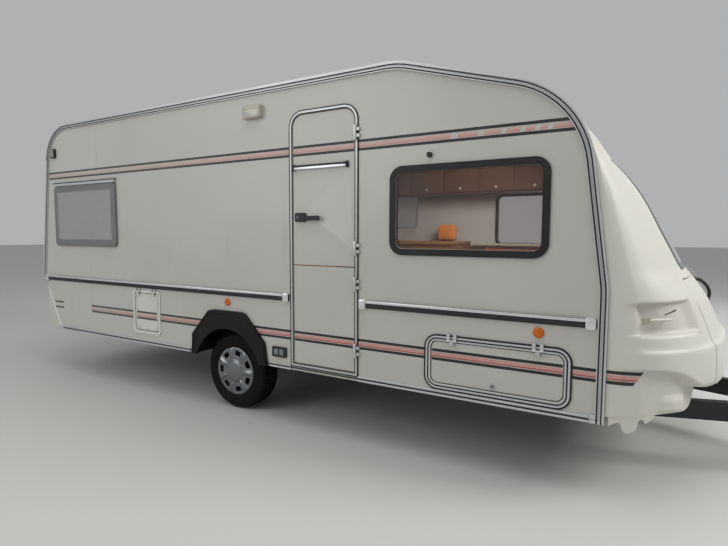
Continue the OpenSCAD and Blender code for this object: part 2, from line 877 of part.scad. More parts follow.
module side_markers() {
  color("#e8821e")
    both_sides()
      for (x = marker_x)
        slab(-half - 14, -half - 0.2) translate([x, marker_z]) circle(34);
}

module rear_lamps() {
  color("#a81f1c")
    both_sides()
      box([tail_x - 14, 760, 640], [tail_x - 0.2, 1010, 780]);
}

// Roof edge lamps: x, z, width, height
lamp_table = [
  [300, 2268, 167, 95],
  [-rear_reach + 300, 2180, 120, 70]
];
module roof_lamps() {
  color("#cfc9b6")
    union() {
      let (l = lamp_table[0])
        slab(-half - 40, -half - 0.2)
          rounded([l[0] - l[2] / 2, l[1] - l[3] / 2], [l[0] + l[2] / 2, l[1] + l[3] / 2], 14);
      both_sides()
        let (l = lamp_table[1])
          slab(-half - 30, -half - 0.2)
            rounded([l[0] - l[2] / 2, l[1] - l[3] / 2], [l[0] + l[2] / 2, l[1] + l[3] / 2], 14);
    }
}

module side_fittings() {
  color("#1b1b1d")
    union() {
      slab(-half - 16, -half - 0.2) rounded([door_x - 169, 500], [door_x - 40, 575], 8);
      slab(-half - 20, -half - 0.2) rounded([door_x + door_w + 479, 1846], [door_x + door_w + 507, 1876], 8);
      mirror([0, 1, 0]) slab(-half - 14, -half - 0.2) rounded([-80, 1080], [330, 1260], 10);
    }
}

module roof_hatches() {
  color("#d9dcdc")
    union() {
      translate([hatch_place[0], hatch_place[1], 0]) {
        plate(roof_z + 0.2, roof_z + 60)
          difference() {
            rounded(-[hatch_size, hatch_size] / 2 - [40, 40], [hatch_size, hatch_size] / 2 + [40, 40], 50);
            rounded(-[hatch_size, hatch_size] / 2, [hatch_size, hatch_size] / 2, 30);
          }
        plate(roof_z + 60, roof_z + 95)
          rounded(-[hatch_size, hatch_size] / 2 - [50, 50], [hatch_size, hatch_size] / 2 + [50, 50], 60);
      }
      translate([vent_place[0], vent_place[1], 0]) {
        plate(roof_z + 0.2, roof_z + 40) rounded(-[vent_size, vent_size] / 2, [vent_size, vent_size] / 2, 40);
        plate(roof_z + 40, roof_z + 90) circle(95);
      }
      translate([-150, 820, roof_z + 0.2]) {
        cylinder(r = 40, h = 90);
        translate([0, 0, 90]) cylinder(r = 62, h = 30);
      }
    }
}

// Bow handles in the two nose pockets and at the rear corners
module bow(len, out, r) {
  for (s = [-1, 1]) translate([0, 0, s * len / 2]) rotate([0, 90, 0]) cylinder(r = r - 2, h = out);
  translate([out, 0, 0]) cylinder(r = r, h = len + 2 * r, center = true);
}

module grab_handles() {
  color("#e2dfd6")
    both_sides() {
      translate([tail_x + bumper_out - 0.4, -half + 140, 1120]) on_slope_rear() bow(180, 45, 9);
      let (p = nose_pt(25, 970, pocket_d), q = nose_pt(20, 970, pocket_d), r = nose_pt(30, 970, pocket_d))
        translate([p[0], -p[1], 970])
          rotate([0, 0, atan2(-(r[1] - q[1]), r[0] - q[0]) - 90])
            translate([-2.4, 0, 0]) rotate([90, 0, 0]) bow(90, 26, 8);
    }
}
module on_slope_rear() {
  translate([(1120 - knee_z) * rear_lean / (roof_z - knee_z), 0, 0])
    rotate([0, rear_slope, 0]) rotate([0, 0, 180]) children();
}

// Bow handle on the lid: its feet lie on the two facets above and below the row at handle_row
handle_z = [985, 1105];
handle_out = 34;
handle_r = 9;
function lid_x(z) = front_edge(z) + 0.5 + nose_x(z);
function lid_face(z) = z < handle_row ? [965, handle_row] : [handle_row, lid_top];
function lid_at(z) =
  let (f = lid_face(z)) lid_x(f[0]) + (lid_x(f[1]) - lid_x(f[0])) * (z - f[0]) / (f[1] - f[0]);
function lid_tilt(z) = let (f = lid_face(z)) atan2(lid_x(f[0]) - lid_x(f[1]), f[1] - f[0]);
module lid_handle() {
  tilt = atan2(lid_at(handle_z[0]) - lid_at(handle_z[1]), handle_z[1] - handle_z[0]);
  reach = (handle_z[1] - handle_z[0]) / cos(tilt);
  color("#19191b")
    union() {
      for (z = handle_z)
        translate([lid_at(z), 0, z]) rotate([0, 90 - lid_tilt(z), 0]) translate([0, 0, 0.3])
          cylinder(r = 15, h = 7);
      for (z = handle_z)
        translate([lid_at(z), 0, z]) rotate([0, 90 - tilt, 0]) translate([0, 0, 4])
          cylinder(r = handle_r - 2, h = handle_out - 4);
      translate([lid_at(handle_z[0]), 0, handle_z[0]]) rotate([0, -tilt, 0])
        translate([handle_out, 0, -handle_r]) cylinder(r = handle_r, h = reach + 2 * handle_r);
    }
}

// Chassis and running gear

axle_x = 150;
axle_z = 318;
axle_r = 48;
rail_y = half - 590;
rail_z0 = 285;
rail_z1 = 400;
rail_x0 = -rear_reach + 480;
rail_x1 = front_reach - 100;
module chassis_rails() {
  color("#3b3d40")
    both_sides()
      difference() {
        box([rail_x0, rail_y - 25, rail_z0], [rail_x1, rail_y + 25, skirt_z - 0.2]);
        box([rail_x0 - 50, rail_y - 21, rail_z0 + 6], [rail_x1 + 50, rail_y + 60, skirt_z - 6]);
        translate([axle_x, 0, axle_z]) rotate([90, 0, 0])
          cylinder(r = axle_r + 0.5, h = body_w, center = true);
        for (x = [rail_x0 + 450 : 340 : rail_x1 - 200])
          if (abs(x - 150) > 200)
            translate([x, rail_y, (rail_z0 + skirt_z) / 2]) rotate([90, 0, 0])
              cylinder(r = 34, h = 200, center = true);
      }
}

module cross_members() {
  color("#3b3d40")
    union()
      for (x = [rail_x0 + 50, -1000, 1300, rail_x1 - 60])
        box([x, -rail_y + 25.3, rail_z0 + 20], [x + 50, rail_y - 25.3, skirt_z - 0.4]);
}

arm_in = [rail_x1 + 0.3, rail_y - 40];
arm_out = [ball_reach - 290, 62];
arm_turn = atan2(arm_in[1] - arm_out[1], arm_out[0] - arm_in[0]);
arm_half = 28;
function arm_face(x) = arm_out[1] + (arm_out[0] - x) * tan(arm_turn) + arm_half / cos(arm_turn);
module drawbar_arms() {
  color("#1f2022")
    both_sides()
      intersection() {
        translate([arm_in[0], arm_in[1], rail_z0]) rotate([0, 0, -arm_turn])
          translate([-200, -arm_half, 0]) cube([arm_out[0], 2 * arm_half, rail_z1 - rail_z0]);
        box([arm_in[0], 0, 0], [arm_out[0], 900, 1000]);
      }
}

module axle() {
  spindle_y = track / 2;
  color("#4a4c50")
    union() {
      translate([axle_x, 0, axle_z]) rotate([90, 0, 0]) cylinder(r = axle_r, h = 2 * 800, center = true);
      for (s = [-1, 1]) {
        translate([axle_x, s * (rail_y + 34), axle_z + 21]) cube([150, 17, 62], center = true);
        translate([axle_x, s * 800, axle_z]) rotate([90, 0, 0]) cylinder(r = 58, h = 50, center = true);
        translate([0, s * 800, tyre_d / 2]) rotate([90, 0, 0]) cylinder(r = 40, h = 50, center = true);
        translate([0, s * 800 - 25, 0])
          rotate([90, 0, 0]) mirror([0, 0, 1]) linear_extrude(50)
            polygon([[0, tyre_d / 2 - 38], [axle_x, axle_z - 55], [axle_x, axle_z + 55],
              [0, tyre_d / 2 + 38]]);
        translate([0, s * (spindle_y + 760) / 2, tyre_d / 2]) rotate([90, 0, 0])
          cylinder(r = spindle_r, h = spindle_y + 40 - 760, center = true);
      }
    }
}

// Wheels: half profiles turned about the spindle, written for the left side with the outside at +x
tyre_r = tyre_d / 2;
rim_r = rim_d / 2;
module spin(s) {
  translate([0, s * track / 2, tyre_r]) rotate([-s * 90, 0, 0]) children();
}

module tyre_shape() {
  h = tyre_w / 2;
  rotate_extrude()
    difference() {
      union() {
        translate([rim_r + 1, -h + 14]) square([tyre_r - rim_r - 26, tyre_w - 28]);
        translate([rim_r + 40, -h]) square([tyre_r - rim_r - 66, tyre_w]);
        translate([tyre_r - 50, -h + 25]) square([50, tyre_w - 50]);
        for (y = [-h + 25, h - 25]) translate([tyre_r - 26, y]) circle(25.5);
        for (y = [-h + 30, h - 30]) translate([rim_r + 40, y]) circle(30);
      }
      translate([0, -h + 24]) square([rim_r + 24, tyre_w - 48]);
    }
}

module rim_shape() {
  h = tyre_w / 2;
  rotate_extrude()
    difference() {
      union() {
        translate([rim_r - 26, -h + 24.5]) square([49.6, tyre_w - 49]);
        translate([rim_r - 26, -h + 8]) square([26.6, tyre_w - 16]);
        translate([spindle_r + clear_r, -h + 16]) square([rim_r - 30, 12]);
        translate([spindle_r + clear_r, 6]) square([rim_r - 30, 10]);
        translate([spindle_r + clear_r, -h - 30]) square([36, h + 62]);
        translate([spindle_r + clear_r, -h - 40]) square([100, 22]);
      }
      translate([spindle_r + 44, -h + 28.2]) square([rim_r - 40 - spindle_r - 12, 60]);
    }
}

module trim_shape() {
  h = tyre_w / 2;
  difference() {
    union() {
      rotate_extrude()
        union() {
          translate([0, h - 7.7]) square([rim_r - 4, 9]);
          translate([rim_r - 22, h - 7.7]) square([20, 16]);
          translate([0, h - 7.7]) square([58, 26]);
        }
      for (k = [0 : 6])
        rotate(k * 360 / 7) translate([50, -13, h - 4]) cube([rim_r - 66, 26, 14]);
    }
    for (k = [0 : 6])
      rotate((k + 0.5) * 360 / 7) translate([rim_r - 58, 0, h - 10]) cylinder(r = 24, h = 60);
  }
}

module tyre_right() { color("#161616") spin(-1) tyre_shape(); }
module tyre_left() { color("#161616") spin(1) tyre_shape(); }
module wheel_right() { color("#7d8084") spin(-1) rim_shape(); }
module wheel_left() { color("#7d8084") spin(1) rim_shape(); }
module trim_right() { color("#b4b6b8") spin(-1) trim_shape(); }
module trim_left() { color("#b4b6b8") spin(1) trim_shape(); }

// Coupling, brake lever and jockey wheel

ball_z = 405;
module coupling() {
  color("#33353a")
    union() {
      box([arm_out[0] - 330, -86, rail_z1 + 0.2], [arm_out[0] + 2, 86, rail_z1 + 12]);
      box([arm_out[0] - 330, -30, rail_z1 + 8], [arm_out[0] - 250, 30, rail_z1 + 40]);
      translate([arm_out[0] - 320, 0, rail_z1 + 52]) rotate([0, 90, 0]) cylinder(r = 42, h = 240);
      for (k = [0 : 4])
        translate([arm_out[0] - 82 + k * 26, 0, rail_z1 + 52]) rotate([0, 90, 0])
          cylinder(r = 50 - k * 2, h = 14);
      translate([arm_out[0] - 90, 0, rail_z1 + 52]) rotate([0, 90, 0]) cylinder(r = 32, h = 200);
      difference() {
        union() {
          box([arm_out[0] + 100, -32, rail_z1 + 2], [ball_reach, 32, rail_z1 + 78]);
          translate([ball_reach, 0, ball_z - 25]) cylinder(r = 42, h = 85);
          box([ball_reach, -24, ball_z - 5], [tip_x, 24, ball_z + 30]);
          translate([ball_reach - 60, 0, rail_z1 + 70]) rotate([0, -24, 0]) box([-20, -16, 0], [130, 16, 30]);
        }
        translate([ball_reach, 0, ball_z - 60]) cylinder(r = ball_r, h = 65);
        translate([ball_reach, 0, ball_z + 4]) sphere(ball_r);
      }
    }
}

module handbrake() {
  color("#26272a")
    union() {
      box([arm_out[0] - 250, 44, rail_z1 + 12.2], [arm_out[0] - 180, 56, rail_z1 + 110]);
      translate([arm_out[0] - 215, 58, rail_z1 + 90]) rotate([90, 0, 0])
        cylinder(r = 26, h = 22, center = true);
      translate([arm_out[0] - 215, 58, rail_z1 + 90]) rotate([0, 42, 0]) box([-11, -7, 0], [11, 7, 250]);
      translate([arm_out[0] - 215, 58, rail_z1 + 90]) rotate([0, 42, 0]) translate([0, 0, 240])
        cylinder(r = 16, h = 110);
    }
}

// The clamp of the post reaches the outer face of the right drawbar arm
jockey_y = -150;
stem_r = 20;
tube_z0 = 245;
tube_z1 = 760;
module jockey_post() {
  color("#85888c")
    translate([jockey_reach, jockey_y, 0]) {
      difference() {
        union() {
          translate([0, 0, tube_z0]) cylinder(r = 25, h = tube_z1 - tube_z0);
          translate([0, 0, rail_z0 + 30]) cylinder(r = 36, h = 70);
          plate(rail_z0 + 40, rail_z0 + 90)
            polygon([[-26, 0], [26, 0], [26, -arm_face(jockey_reach + 26) - jockey_y - 0.3],
              [-26, -arm_face(jockey_reach - 26) - jockey_y - 0.3]]);
        }
        translate([0, 0, tube_z0 - 1]) cylinder(r = stem_r + clear_r, h = 300);
      }
      translate([0, 0, tube_z1 - 2]) cylinder(r = 16, h = 26);
      translate([0, 0, tube_z1 + 24]) box([-9, -110, 0], [9, 12, 10]);
      translate([0, -100, tube_z1 + 30]) cylinder(r = 12, h = 90);
    }
}

// The wheel trails behind its swivel stem
trail = 45;
fork_w = 74;
module jockey_fork() {
  r = jockey_d / 2;
  color("#85888c")
    translate([jockey_reach, jockey_y, 0])
      union() {
        translate([0, 0, jockey_d + 20]) cylinder(r = stem_r, h = 300);
        box([-trail - 22, -fork_w / 2, jockey_d + 10], [24, fork_w / 2, jockey_d + 22]);
        for (s = [-1, 1])
          box([-trail - 22, s * (fork_w / 2 - 3) - 3, r - 20],
            [-trail + 22, s * (fork_w / 2 - 3) + 3, jockey_d + 12]);
        translate([-trail, 0, r]) rotate([90, 0, 0]) cylinder(r = 8, h = fork_w, center = true);
      }
}

module jockey_wheel() {
  r = jockey_d / 2;
  color("#222224")
    translate([jockey_reach - trail, jockey_y, r]) rotate([90, 0, 0])
      rotate_extrude()
        union() {
          translate([8 + clear_r, -29]) square([24, 58]);
          translate([30, -8]) square([r - 62, 16]);
          translate([r - 36, -25]) square([24, 50]);
          translate([r - 36, -13]) square([36, 26]);
          for (y = [-13, 13]) translate([r - 12, y]) circle(12);
        }
}

// Corner steadies

module at_steady(x, s) {
  translate([x, s * steady_y, steady_z]) children();
}

module steady_brackets() {
  color("#4a4c50")
    union()
      for (x = [steady_front_x, steady_rear_x], s = [-1, 1])
        at_steady(x, s) {
          for (t = [-1, 1])
            box([-28, t * 34 - 4, -24], [28, t * 34 + 4, skirt_z - steady_z - 0.2]);
          rotate([90, 0, 0]) cylinder(r = 9, h = 76, center = true);
        }
}

// Leg drawn pointing forward from its pivot
module steady_leg() {
  color("#55585c")
    difference() {
      union() {
        rotate([90, 0, 0]) cylinder(r = 20, h = 56, center = true);
        box([0, -28, -14], [steady_len - 20, 28, 14]);
        translate([steady_len - 30, 0, -16]) rotate([0, -40, 0]) box([-40, -50, -8], [60, 50, 0]);
      }
      rotate([90, 0, 0]) cylinder(r = 9 + clear_r, h = 80, center = true);
      box([30, -22, -20], [steady_len - 60, 22, 8]);
    }
}

module steady_front_right() { at_steady(steady_front_x, -1) steady_leg(); }
module steady_front_left() { at_steady(steady_front_x, 1) steady_leg(); }
module steady_rear_right() { at_steady(steady_rear_x, -1) mirror([1, 0, 0]) steady_leg(); }
module steady_rear_left() { at_steady(steady_rear_x, 1) mirror([1, 0, 0]) steady_leg(); }

// Fittings inside that show through the glass

bench_in = 560;
bench_z = 850;
board = 18;
seat_t = 120;
kitchen_x1 = 1180;
front_seat_x0 = kitchen_x1 + 150;
front_seat_x1 = front_reach - 24;
bed_x1 = -1300;
bed_x0 = -rear_reach + 110;
module seat_bases() {
  color("#8a6a45")
    union() {
      both_sides() {
        box([front_seat_x0, -inner + 0.3, bench_z - board], [front_seat_x1, -bench_in, bench_z]);
        box([front_seat_x0, -bench_in - board, floor_top], [front_seat_x1, -bench_in, bench_z - board + 1]);
      }
      box([bed_x0, -inner + 0.3, bench_z - board], [bed_x1, inner - 0.3, bench_z]);
      box([bed_x1 - board, -inner + 0.3, floor_top], [bed_x1, inner - 0.3, bench_z - board + 1]);
    }
}

module cushions() {
  color("#b4552c")
    union() {
      both_sides() {
        box([front_seat_x0 + 4, -inner + 4, bench_z + 0.3],
          [front_seat_x1 - 4, -bench_in + 10, bench_z + seat_t]);
        box([front_seat_x0 + 4, -inner + 4, bench_z + seat_t + 0.3],
          [front_seat_x1 - 4, -inner + 130, bench_z + seat_t + 300]);
      }
      box([bed_x0 + 4, -inner + 6, bench_z + 0.3], [bed_x1 - 4, inner - 6, bench_z + seat_t + 20]);
    }
}

table_x0 = front_seat_x0 + 230;
table_x1 = front_reach - 180;
table_z = 1175;
module dinette_table() {
  color("#8a6a45")
    union() {
      box([table_x0, -330, table_z - 25], [table_x1, 330, table_z]);
      translate([(table_x0 + table_x1) / 2, 0, floor_top]) cylinder(r = 30, h = table_z - 23 - floor_top);
      translate([(table_x0 + table_x1) / 2, 0, floor_top]) cylinder(r = 160, h = 12);
    }
}

kitchen_x0 = -480;
kitchen_in = 570;
kitchen_z = 1320;
module kitchen_unit() {
  color("#8a6a45")
    union() {
      box([kitchen_x0, kitchen_in, kitchen_z - 28], [kitchen_x1, inner - 0.3, kitchen_z]);
      box([kitchen_x0 + 10, kitchen_in + 20, floor_top],
        [kitchen_x1 - 10, kitchen_in + 20 + board, kitchen_z - 27]);
      for (x = [kitchen_x0 + 10, kitchen_x1 - 10 - board])
        box([x, kitchen_in + 20, floor_top], [x + board, inner - 0.3, kitchen_z - 27]);
    }
}

wardrobe_x0 = -1240;
wardrobe_x1 = 560;
wardrobe_in = 470;
module wardrobe() {
  color("#9a7a52")
    union() {
      box([wardrobe_x0, -wardrobe_in - board, floor_top], [wardrobe_x1, -wardrobe_in, roof_z - wall - 0.5]);
      for (x = [wardrobe_x0, wardrobe_x1 - board])
        box([x, -inner + 0.3, floor_top], [x + board, -wardrobe_in, roof_z - wall - 0.5]);
    }
}

module to_middle() {
  translate([-mid_x, 0, 0]) children();
}

to_middle() side_wall_right();
to_middle() side_wall_left();
to_middle() roof_panel();
to_middle() rear_wall();
to_middle() rear_moulding();
to_middle() floor_panel();
to_middle() front_panel();
to_middle() gas_locker();
to_middle() window_seals();
to_middle() window_panes();
to_middle() front_window();
to_middle() window_rails();
to_middle() edge_rails();
to_middle() skirt_rails();
to_middle() belt_rails();
to_middle() wheel_spats();
to_middle() wheel_boxes();
to_middle() opening_frames();
to_middle() hinge_pins();
to_middle() side_markers();
to_middle() rear_lamps();
to_middle() roof_lamps();
to_middle() side_fittings();
to_middle() roof_hatches();
to_middle() grab_handles();
to_middle() chassis_rails();
to_middle() cross_members();
to_middle() drawbar_arms();
to_middle() axle();
to_middle() coupling();
to_middle() handbrake();
to_middle() jockey_post();
to_middle() steady_brackets();
to_middle() seat_bases();
to_middle() cushions();
to_middle() dinette_table();
to_middle() kitchen_unit();
to_middle() wardrobe();
to_middle() door_upper();
to_middle() door_lower();
to_middle() locker_flap();
to_middle() service_hatch();
to_middle() gas_lid();
to_middle() lid_hinges();
to_middle() lid_handle();
to_middle() tyre_right();
to_middle() wheel_right();
to_middle() trim_right();
to_middle() tyre_left();
to_middle() wheel_left();
to_middle() trim_left();
to_middle() jockey_fork();
to_middle() jockey_wheel();
to_middle() steady_front_right();
to_middle() steady_front_left();
to_middle() steady_rear_right();
to_middle() steady_rear_left();
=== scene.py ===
import bpy
import bmesh
import json
import math
from mathutils import Matrix, Vector
from mathutils.bvhtree import BVHTree


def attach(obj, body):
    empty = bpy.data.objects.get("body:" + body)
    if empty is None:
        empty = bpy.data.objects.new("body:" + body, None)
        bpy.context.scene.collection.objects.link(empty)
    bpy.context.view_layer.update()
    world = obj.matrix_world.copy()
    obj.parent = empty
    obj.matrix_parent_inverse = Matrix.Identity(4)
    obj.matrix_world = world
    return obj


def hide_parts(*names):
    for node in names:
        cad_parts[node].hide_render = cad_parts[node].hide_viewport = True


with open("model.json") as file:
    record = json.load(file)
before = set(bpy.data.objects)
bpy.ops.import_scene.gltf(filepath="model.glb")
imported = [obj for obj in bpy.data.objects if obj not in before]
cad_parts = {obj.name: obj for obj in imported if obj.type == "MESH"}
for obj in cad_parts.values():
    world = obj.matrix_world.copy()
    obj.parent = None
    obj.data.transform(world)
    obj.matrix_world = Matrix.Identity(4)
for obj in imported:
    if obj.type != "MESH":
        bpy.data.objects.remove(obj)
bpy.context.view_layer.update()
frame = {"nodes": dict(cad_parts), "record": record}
nodes = frame["nodes"]
scene = bpy.context.scene
root = "caravan"
axleX = -0.8775   # wheel axle, measured from mid length
wallY = 1.15      # outer face of the side walls
print("stage: frame loaded,", len(nodes), "nodes")

# Camera at the photo's viewing angle
photoView = dict(
    right=(0.86151, 0.50774, 0.00277), up=(-0.04253, 0.06671, 0.99687),
    ahead=(-0.50596, 0.85892, -0.07906), spot=(1.98765, -3.92994, 1.39810), lens=24.725, sensor=36.0)


def addCamera(view):
    data = bpy.data.cameras.new("photoCamera")
    data.sensor_width, data.sensor_fit, data.lens = view["sensor"], "HORIZONTAL", view["lens"]
    cam = bpy.data.objects.new("photoCamera", data)
    scene.collection.objects.link(cam)
    axes = [Vector(view["right"]), Vector(view["up"]), -Vector(view["ahead"])]
    cam.matrix_world = Matrix.Translation(view["spot"]) @ Matrix(axes).transposed().to_4x4()
    scene.camera = cam


addCamera(photoView)

# Shader groups: each gives Mask for colour, Fine for roughness and Height for bump
plain = (1, 1, 1)
broadShare = 0.6   # how much the broad stains count beside the streaks
fading = dict(
    fresh=-0.5, faded=-2.3, most=0.78, blotch=(5.0, 4), blotchRange=(0.45, 0.8), blotchMost=0.22,
    grain=(300.0, 2))
weave = dict(threads=160.0, wobble=0.6, detail=1.0, share=0.33, flecks=(34.0, 4), lift=0.6, between=(0.3, 0.75))


def startGroup(name):
    group = bpy.data.node_groups.new(name, "ShaderNodeTree")
    group.interface.new_socket("Scale", in_out="INPUT", socket_type="NodeSocketFloat").default_value = 1.0
    for label in ("Mask", "Fine", "Height"):
        group.interface.new_socket(label, in_out="OUTPUT", socket_type="NodeSocketFloat")
    return group, group.nodes.new("NodeGroupInput").outputs["Scale"]


def endGroup(group, *results):
    made = group.nodes.new("NodeGroupOutput")
    for result, socket in zip(results, made.inputs):
        group.links.new(result, socket)
    return group


def addNode(tree, kind, inputs, output=0, **settings):
    # one shader node; each input takes a value or another node's output
    node = tree.nodes.new("ShaderNode" + kind)
    for label, value in settings.items():
        setattr(node, label, value)
    for label, value in inputs.items():
        if isinstance(value, bpy.types.NodeSocket):
            tree.links.new(value, node.inputs[label])
        else:
            node.inputs[label].default_value = value
    return node.outputs[output]


def mathNode(tree, operation, a, b):
    return addNode(tree, "Math", {0: a, 1: b}, operation=operation)


def stretched(tree, stretch):
    return addNode(tree, "Mapping", {"Vector": addNode(tree, "TexCoord", {}, "Object"), "Scale": stretch}, "Vector")


def noiseNode(tree, stretch, scale, detail):
    return addNode(tree, "TexNoise", {"Vector": stretched(tree, stretch), "Scale": scale, "Detail": detail}, "Fac")


def ranged(tree, value, low, high, toLow=0.0, toHigh=1.0):
    limits = {"From Min": low, "From Max": high, "To Min": toLow, "To Max": toHigh}
    return addNode(tree, "MapRange", {"Value": value, **limits}, "Result")


def noisyGroup(name, *layers):
    # layers are broad stains, streaks, fine and height, each (stretch, scale, detail, low, high)
    group, size = startGroup(name)
    parts = [ranged(group, noiseNode(group, stretch, mathNode(group, "MULTIPLY", size, scale), detail), low, high)
             for stretch, scale, detail, low, high in layers]
    stains = mathNode(group, "MULTIPLY", parts[0], broadShare)
    return endGroup(group, mathNode(group, "MAXIMUM", stains, parts[1]), *parts[2:])


def weaveGroup(name, values):
    group, size = startGroup(name)
    threads = mathNode(group, "MULTIPLY", size, values["threads"])
    inputs = {"Distortion": values["wobble"], "Detail": values["detail"], "Scale": threads,
              "Vector": stretched(group, plain)}
    waves = [addNode(group, "TexWave", inputs, "Fac", bands_direction=axis) for axis in ("X", "Y", "Z")]
    total = mathNode(group, "ADD", mathNode(group, "ADD", *waves[:2]), waves[2])
    cloth = mathNode(group, "MULTIPLY", total, values["share"])
    flecks = noiseNode(group, plain, *values["flecks"])
    mottle = mathNode(group, "MULTIPLY", flecks, mathNode(group, "ADD", cloth, values["lift"]))
    return endGroup(group, ranged(group, mottle, *values["between"]), flecks, cloth)


def fadeGroup(name, values):
    # tapes bleach towards the rear: Mask grows from fresh to faded along x
    group = startGroup(name)[0]
    x = addNode(group, "SeparateXYZ", {"Vector": addNode(group, "TexCoord", {}, "Object")}, "X")
    along = ranged(group, x, values["fresh"], values["faded"], 0.0, values["most"])
    blotch = noiseNode(group, plain, *values["blotch"])
    patches = ranged(group, blotch, *values["blotchRange"], 0.0, values["blotchMost"])
    return endGroup(group, mathNode(group, "ADD", along, patches), blotch, noiseNode(group, plain, *values["grain"]))


groups = dict(
    tape=fadeGroup("tapeFading", fading),
    sheetMetal=noisyGroup("sheetMetalWeather", (plain, 0.9, 3, 0.35, 0.75), ((9, 9, 0.7), 1.4, 4, 0.60, 0.86),
                          (plain, 14, 3, 0.2, 0.8), ((1, 1, 0.25), 2.2, 2, 0.2, 0.8)),
    gelCoat=noisyGroup("gelCoatWeather", (plain, 1.6, 3, 0.4, 0.8), ((5, 5, 1.1), 1.6, 4, 0.58, 0.85),
                       (plain, 22, 3, 0.25, 0.75), (plain, 9, 2, 0.2, 0.8)),
    extrusion=noisyGroup("extrusionLines", (plain, 3, 3, 0.3, 0.8), ((2, 9, 9), 7, 4, 0.55, 0.9),
                         ((4, 220, 220), 1, 2, 0.2, 0.8), ((4, 260, 260), 1, 2, 0.2, 0.8)),
    moulded=noisyGroup("mouldedGrain", (plain, 4, 3, 0.35, 0.8), ((7, 7, 2), 3, 4, 0.58, 0.9),
                       (plain, 60, 2, 0.2, 0.8), (plain, 620, 2, 0.25, 0.75)),
    rubber=noisyGroup("rubberBloom", (plain, 6, 4, 0.4, 0.8), (plain, 17, 4, 0.60, 0.85),
                      (plain, 45, 2, 0.2, 0.8), (plain, 260, 2, 0.25, 0.75)),
    steel=noisyGroup("steelScuffs", (plain, 5, 4, 0.4, 0.8), (plain, 26, 5, 0.62, 0.8),
                     (plain, 40, 3, 0.2, 0.8), (plain, 140, 3, 0.25, 0.75)),
    timber=noisyGroup("timberGrain", ((1.2, 22, 22), 1, 4, 0.3, 0.75), ((0.8, 60, 60), 1.2, 5, 0.52, 0.8),
                      ((2, 90, 90), 1, 2, 0.2, 0.8), ((2, 130, 130), 1, 3, 0.2, 0.8)),
    lens=noisyGroup("lensTint", (plain, 12, 2, 0.3, 0.8), (plain, 30, 3, 0.65, 0.9),
                    (plain, 70, 2, 0.2, 0.8), (plain, 90, 1, 0.2, 0.8)),
    weave=weaveGroup("clothWeave", weave))
print("stage: shader groups made")


def rgb(text):
    parts = [int(text[i:i + 2], 16) / 255 for i in (0, 2, 4)]
    return [p / 12.92 if p < 0.04045 else ((p + 0.055) / 1.055) ** 2.4 for p in parts] + [1.0]


def makeFinish(name, group, base, worn, rough, scale=1.0, spread=0.06, bump=0.0, metal=0.0, coat=0.0,
               coatRough=0.08, sheen=0.0, clear=0.0, ior=1.45, soft=0.02, gleam=0.5):
    mat = bpy.data.materials.new(name)
    mat.use_nodes = True
    tree = mat.node_tree
    shader = tree.nodes["Principled BSDF"]
    pattern = tree.nodes.new("ShaderNodeGroup")
    pattern.node_tree = groups[group]
    pattern.inputs["Scale"].default_value = scale
    mask, fine, height = pattern.outputs
    colour = addNode(tree, "Mix", {"A": rgb(base), "B": rgb(worn), "Factor": mask}, "Result", data_type="RGBA")
    tree.links.new(colour, shader.inputs["Base Color"])
    sheer = ranged(tree, fine, 0, 1, max(rough - spread, 0.02), rough + spread)
    tree.links.new(sheer, shader.inputs["Roughness"])
    if bump:
        relief = addNode(tree, "Bump", {"Strength": bump, "Distance": soft, "Height": height}, "Normal")
        tree.links.new(relief, shader.inputs["Normal"])
    settings = {"Metallic": metal, "Coat Weight": coat, "Coat Roughness": coatRough, "Sheen Weight": sheen,
                "Transmission Weight": clear, "IOR": ior, "Specular IOR Level": gleam}
    for label, value in settings.items():
        shader.inputs[label].default_value = value
    return mat


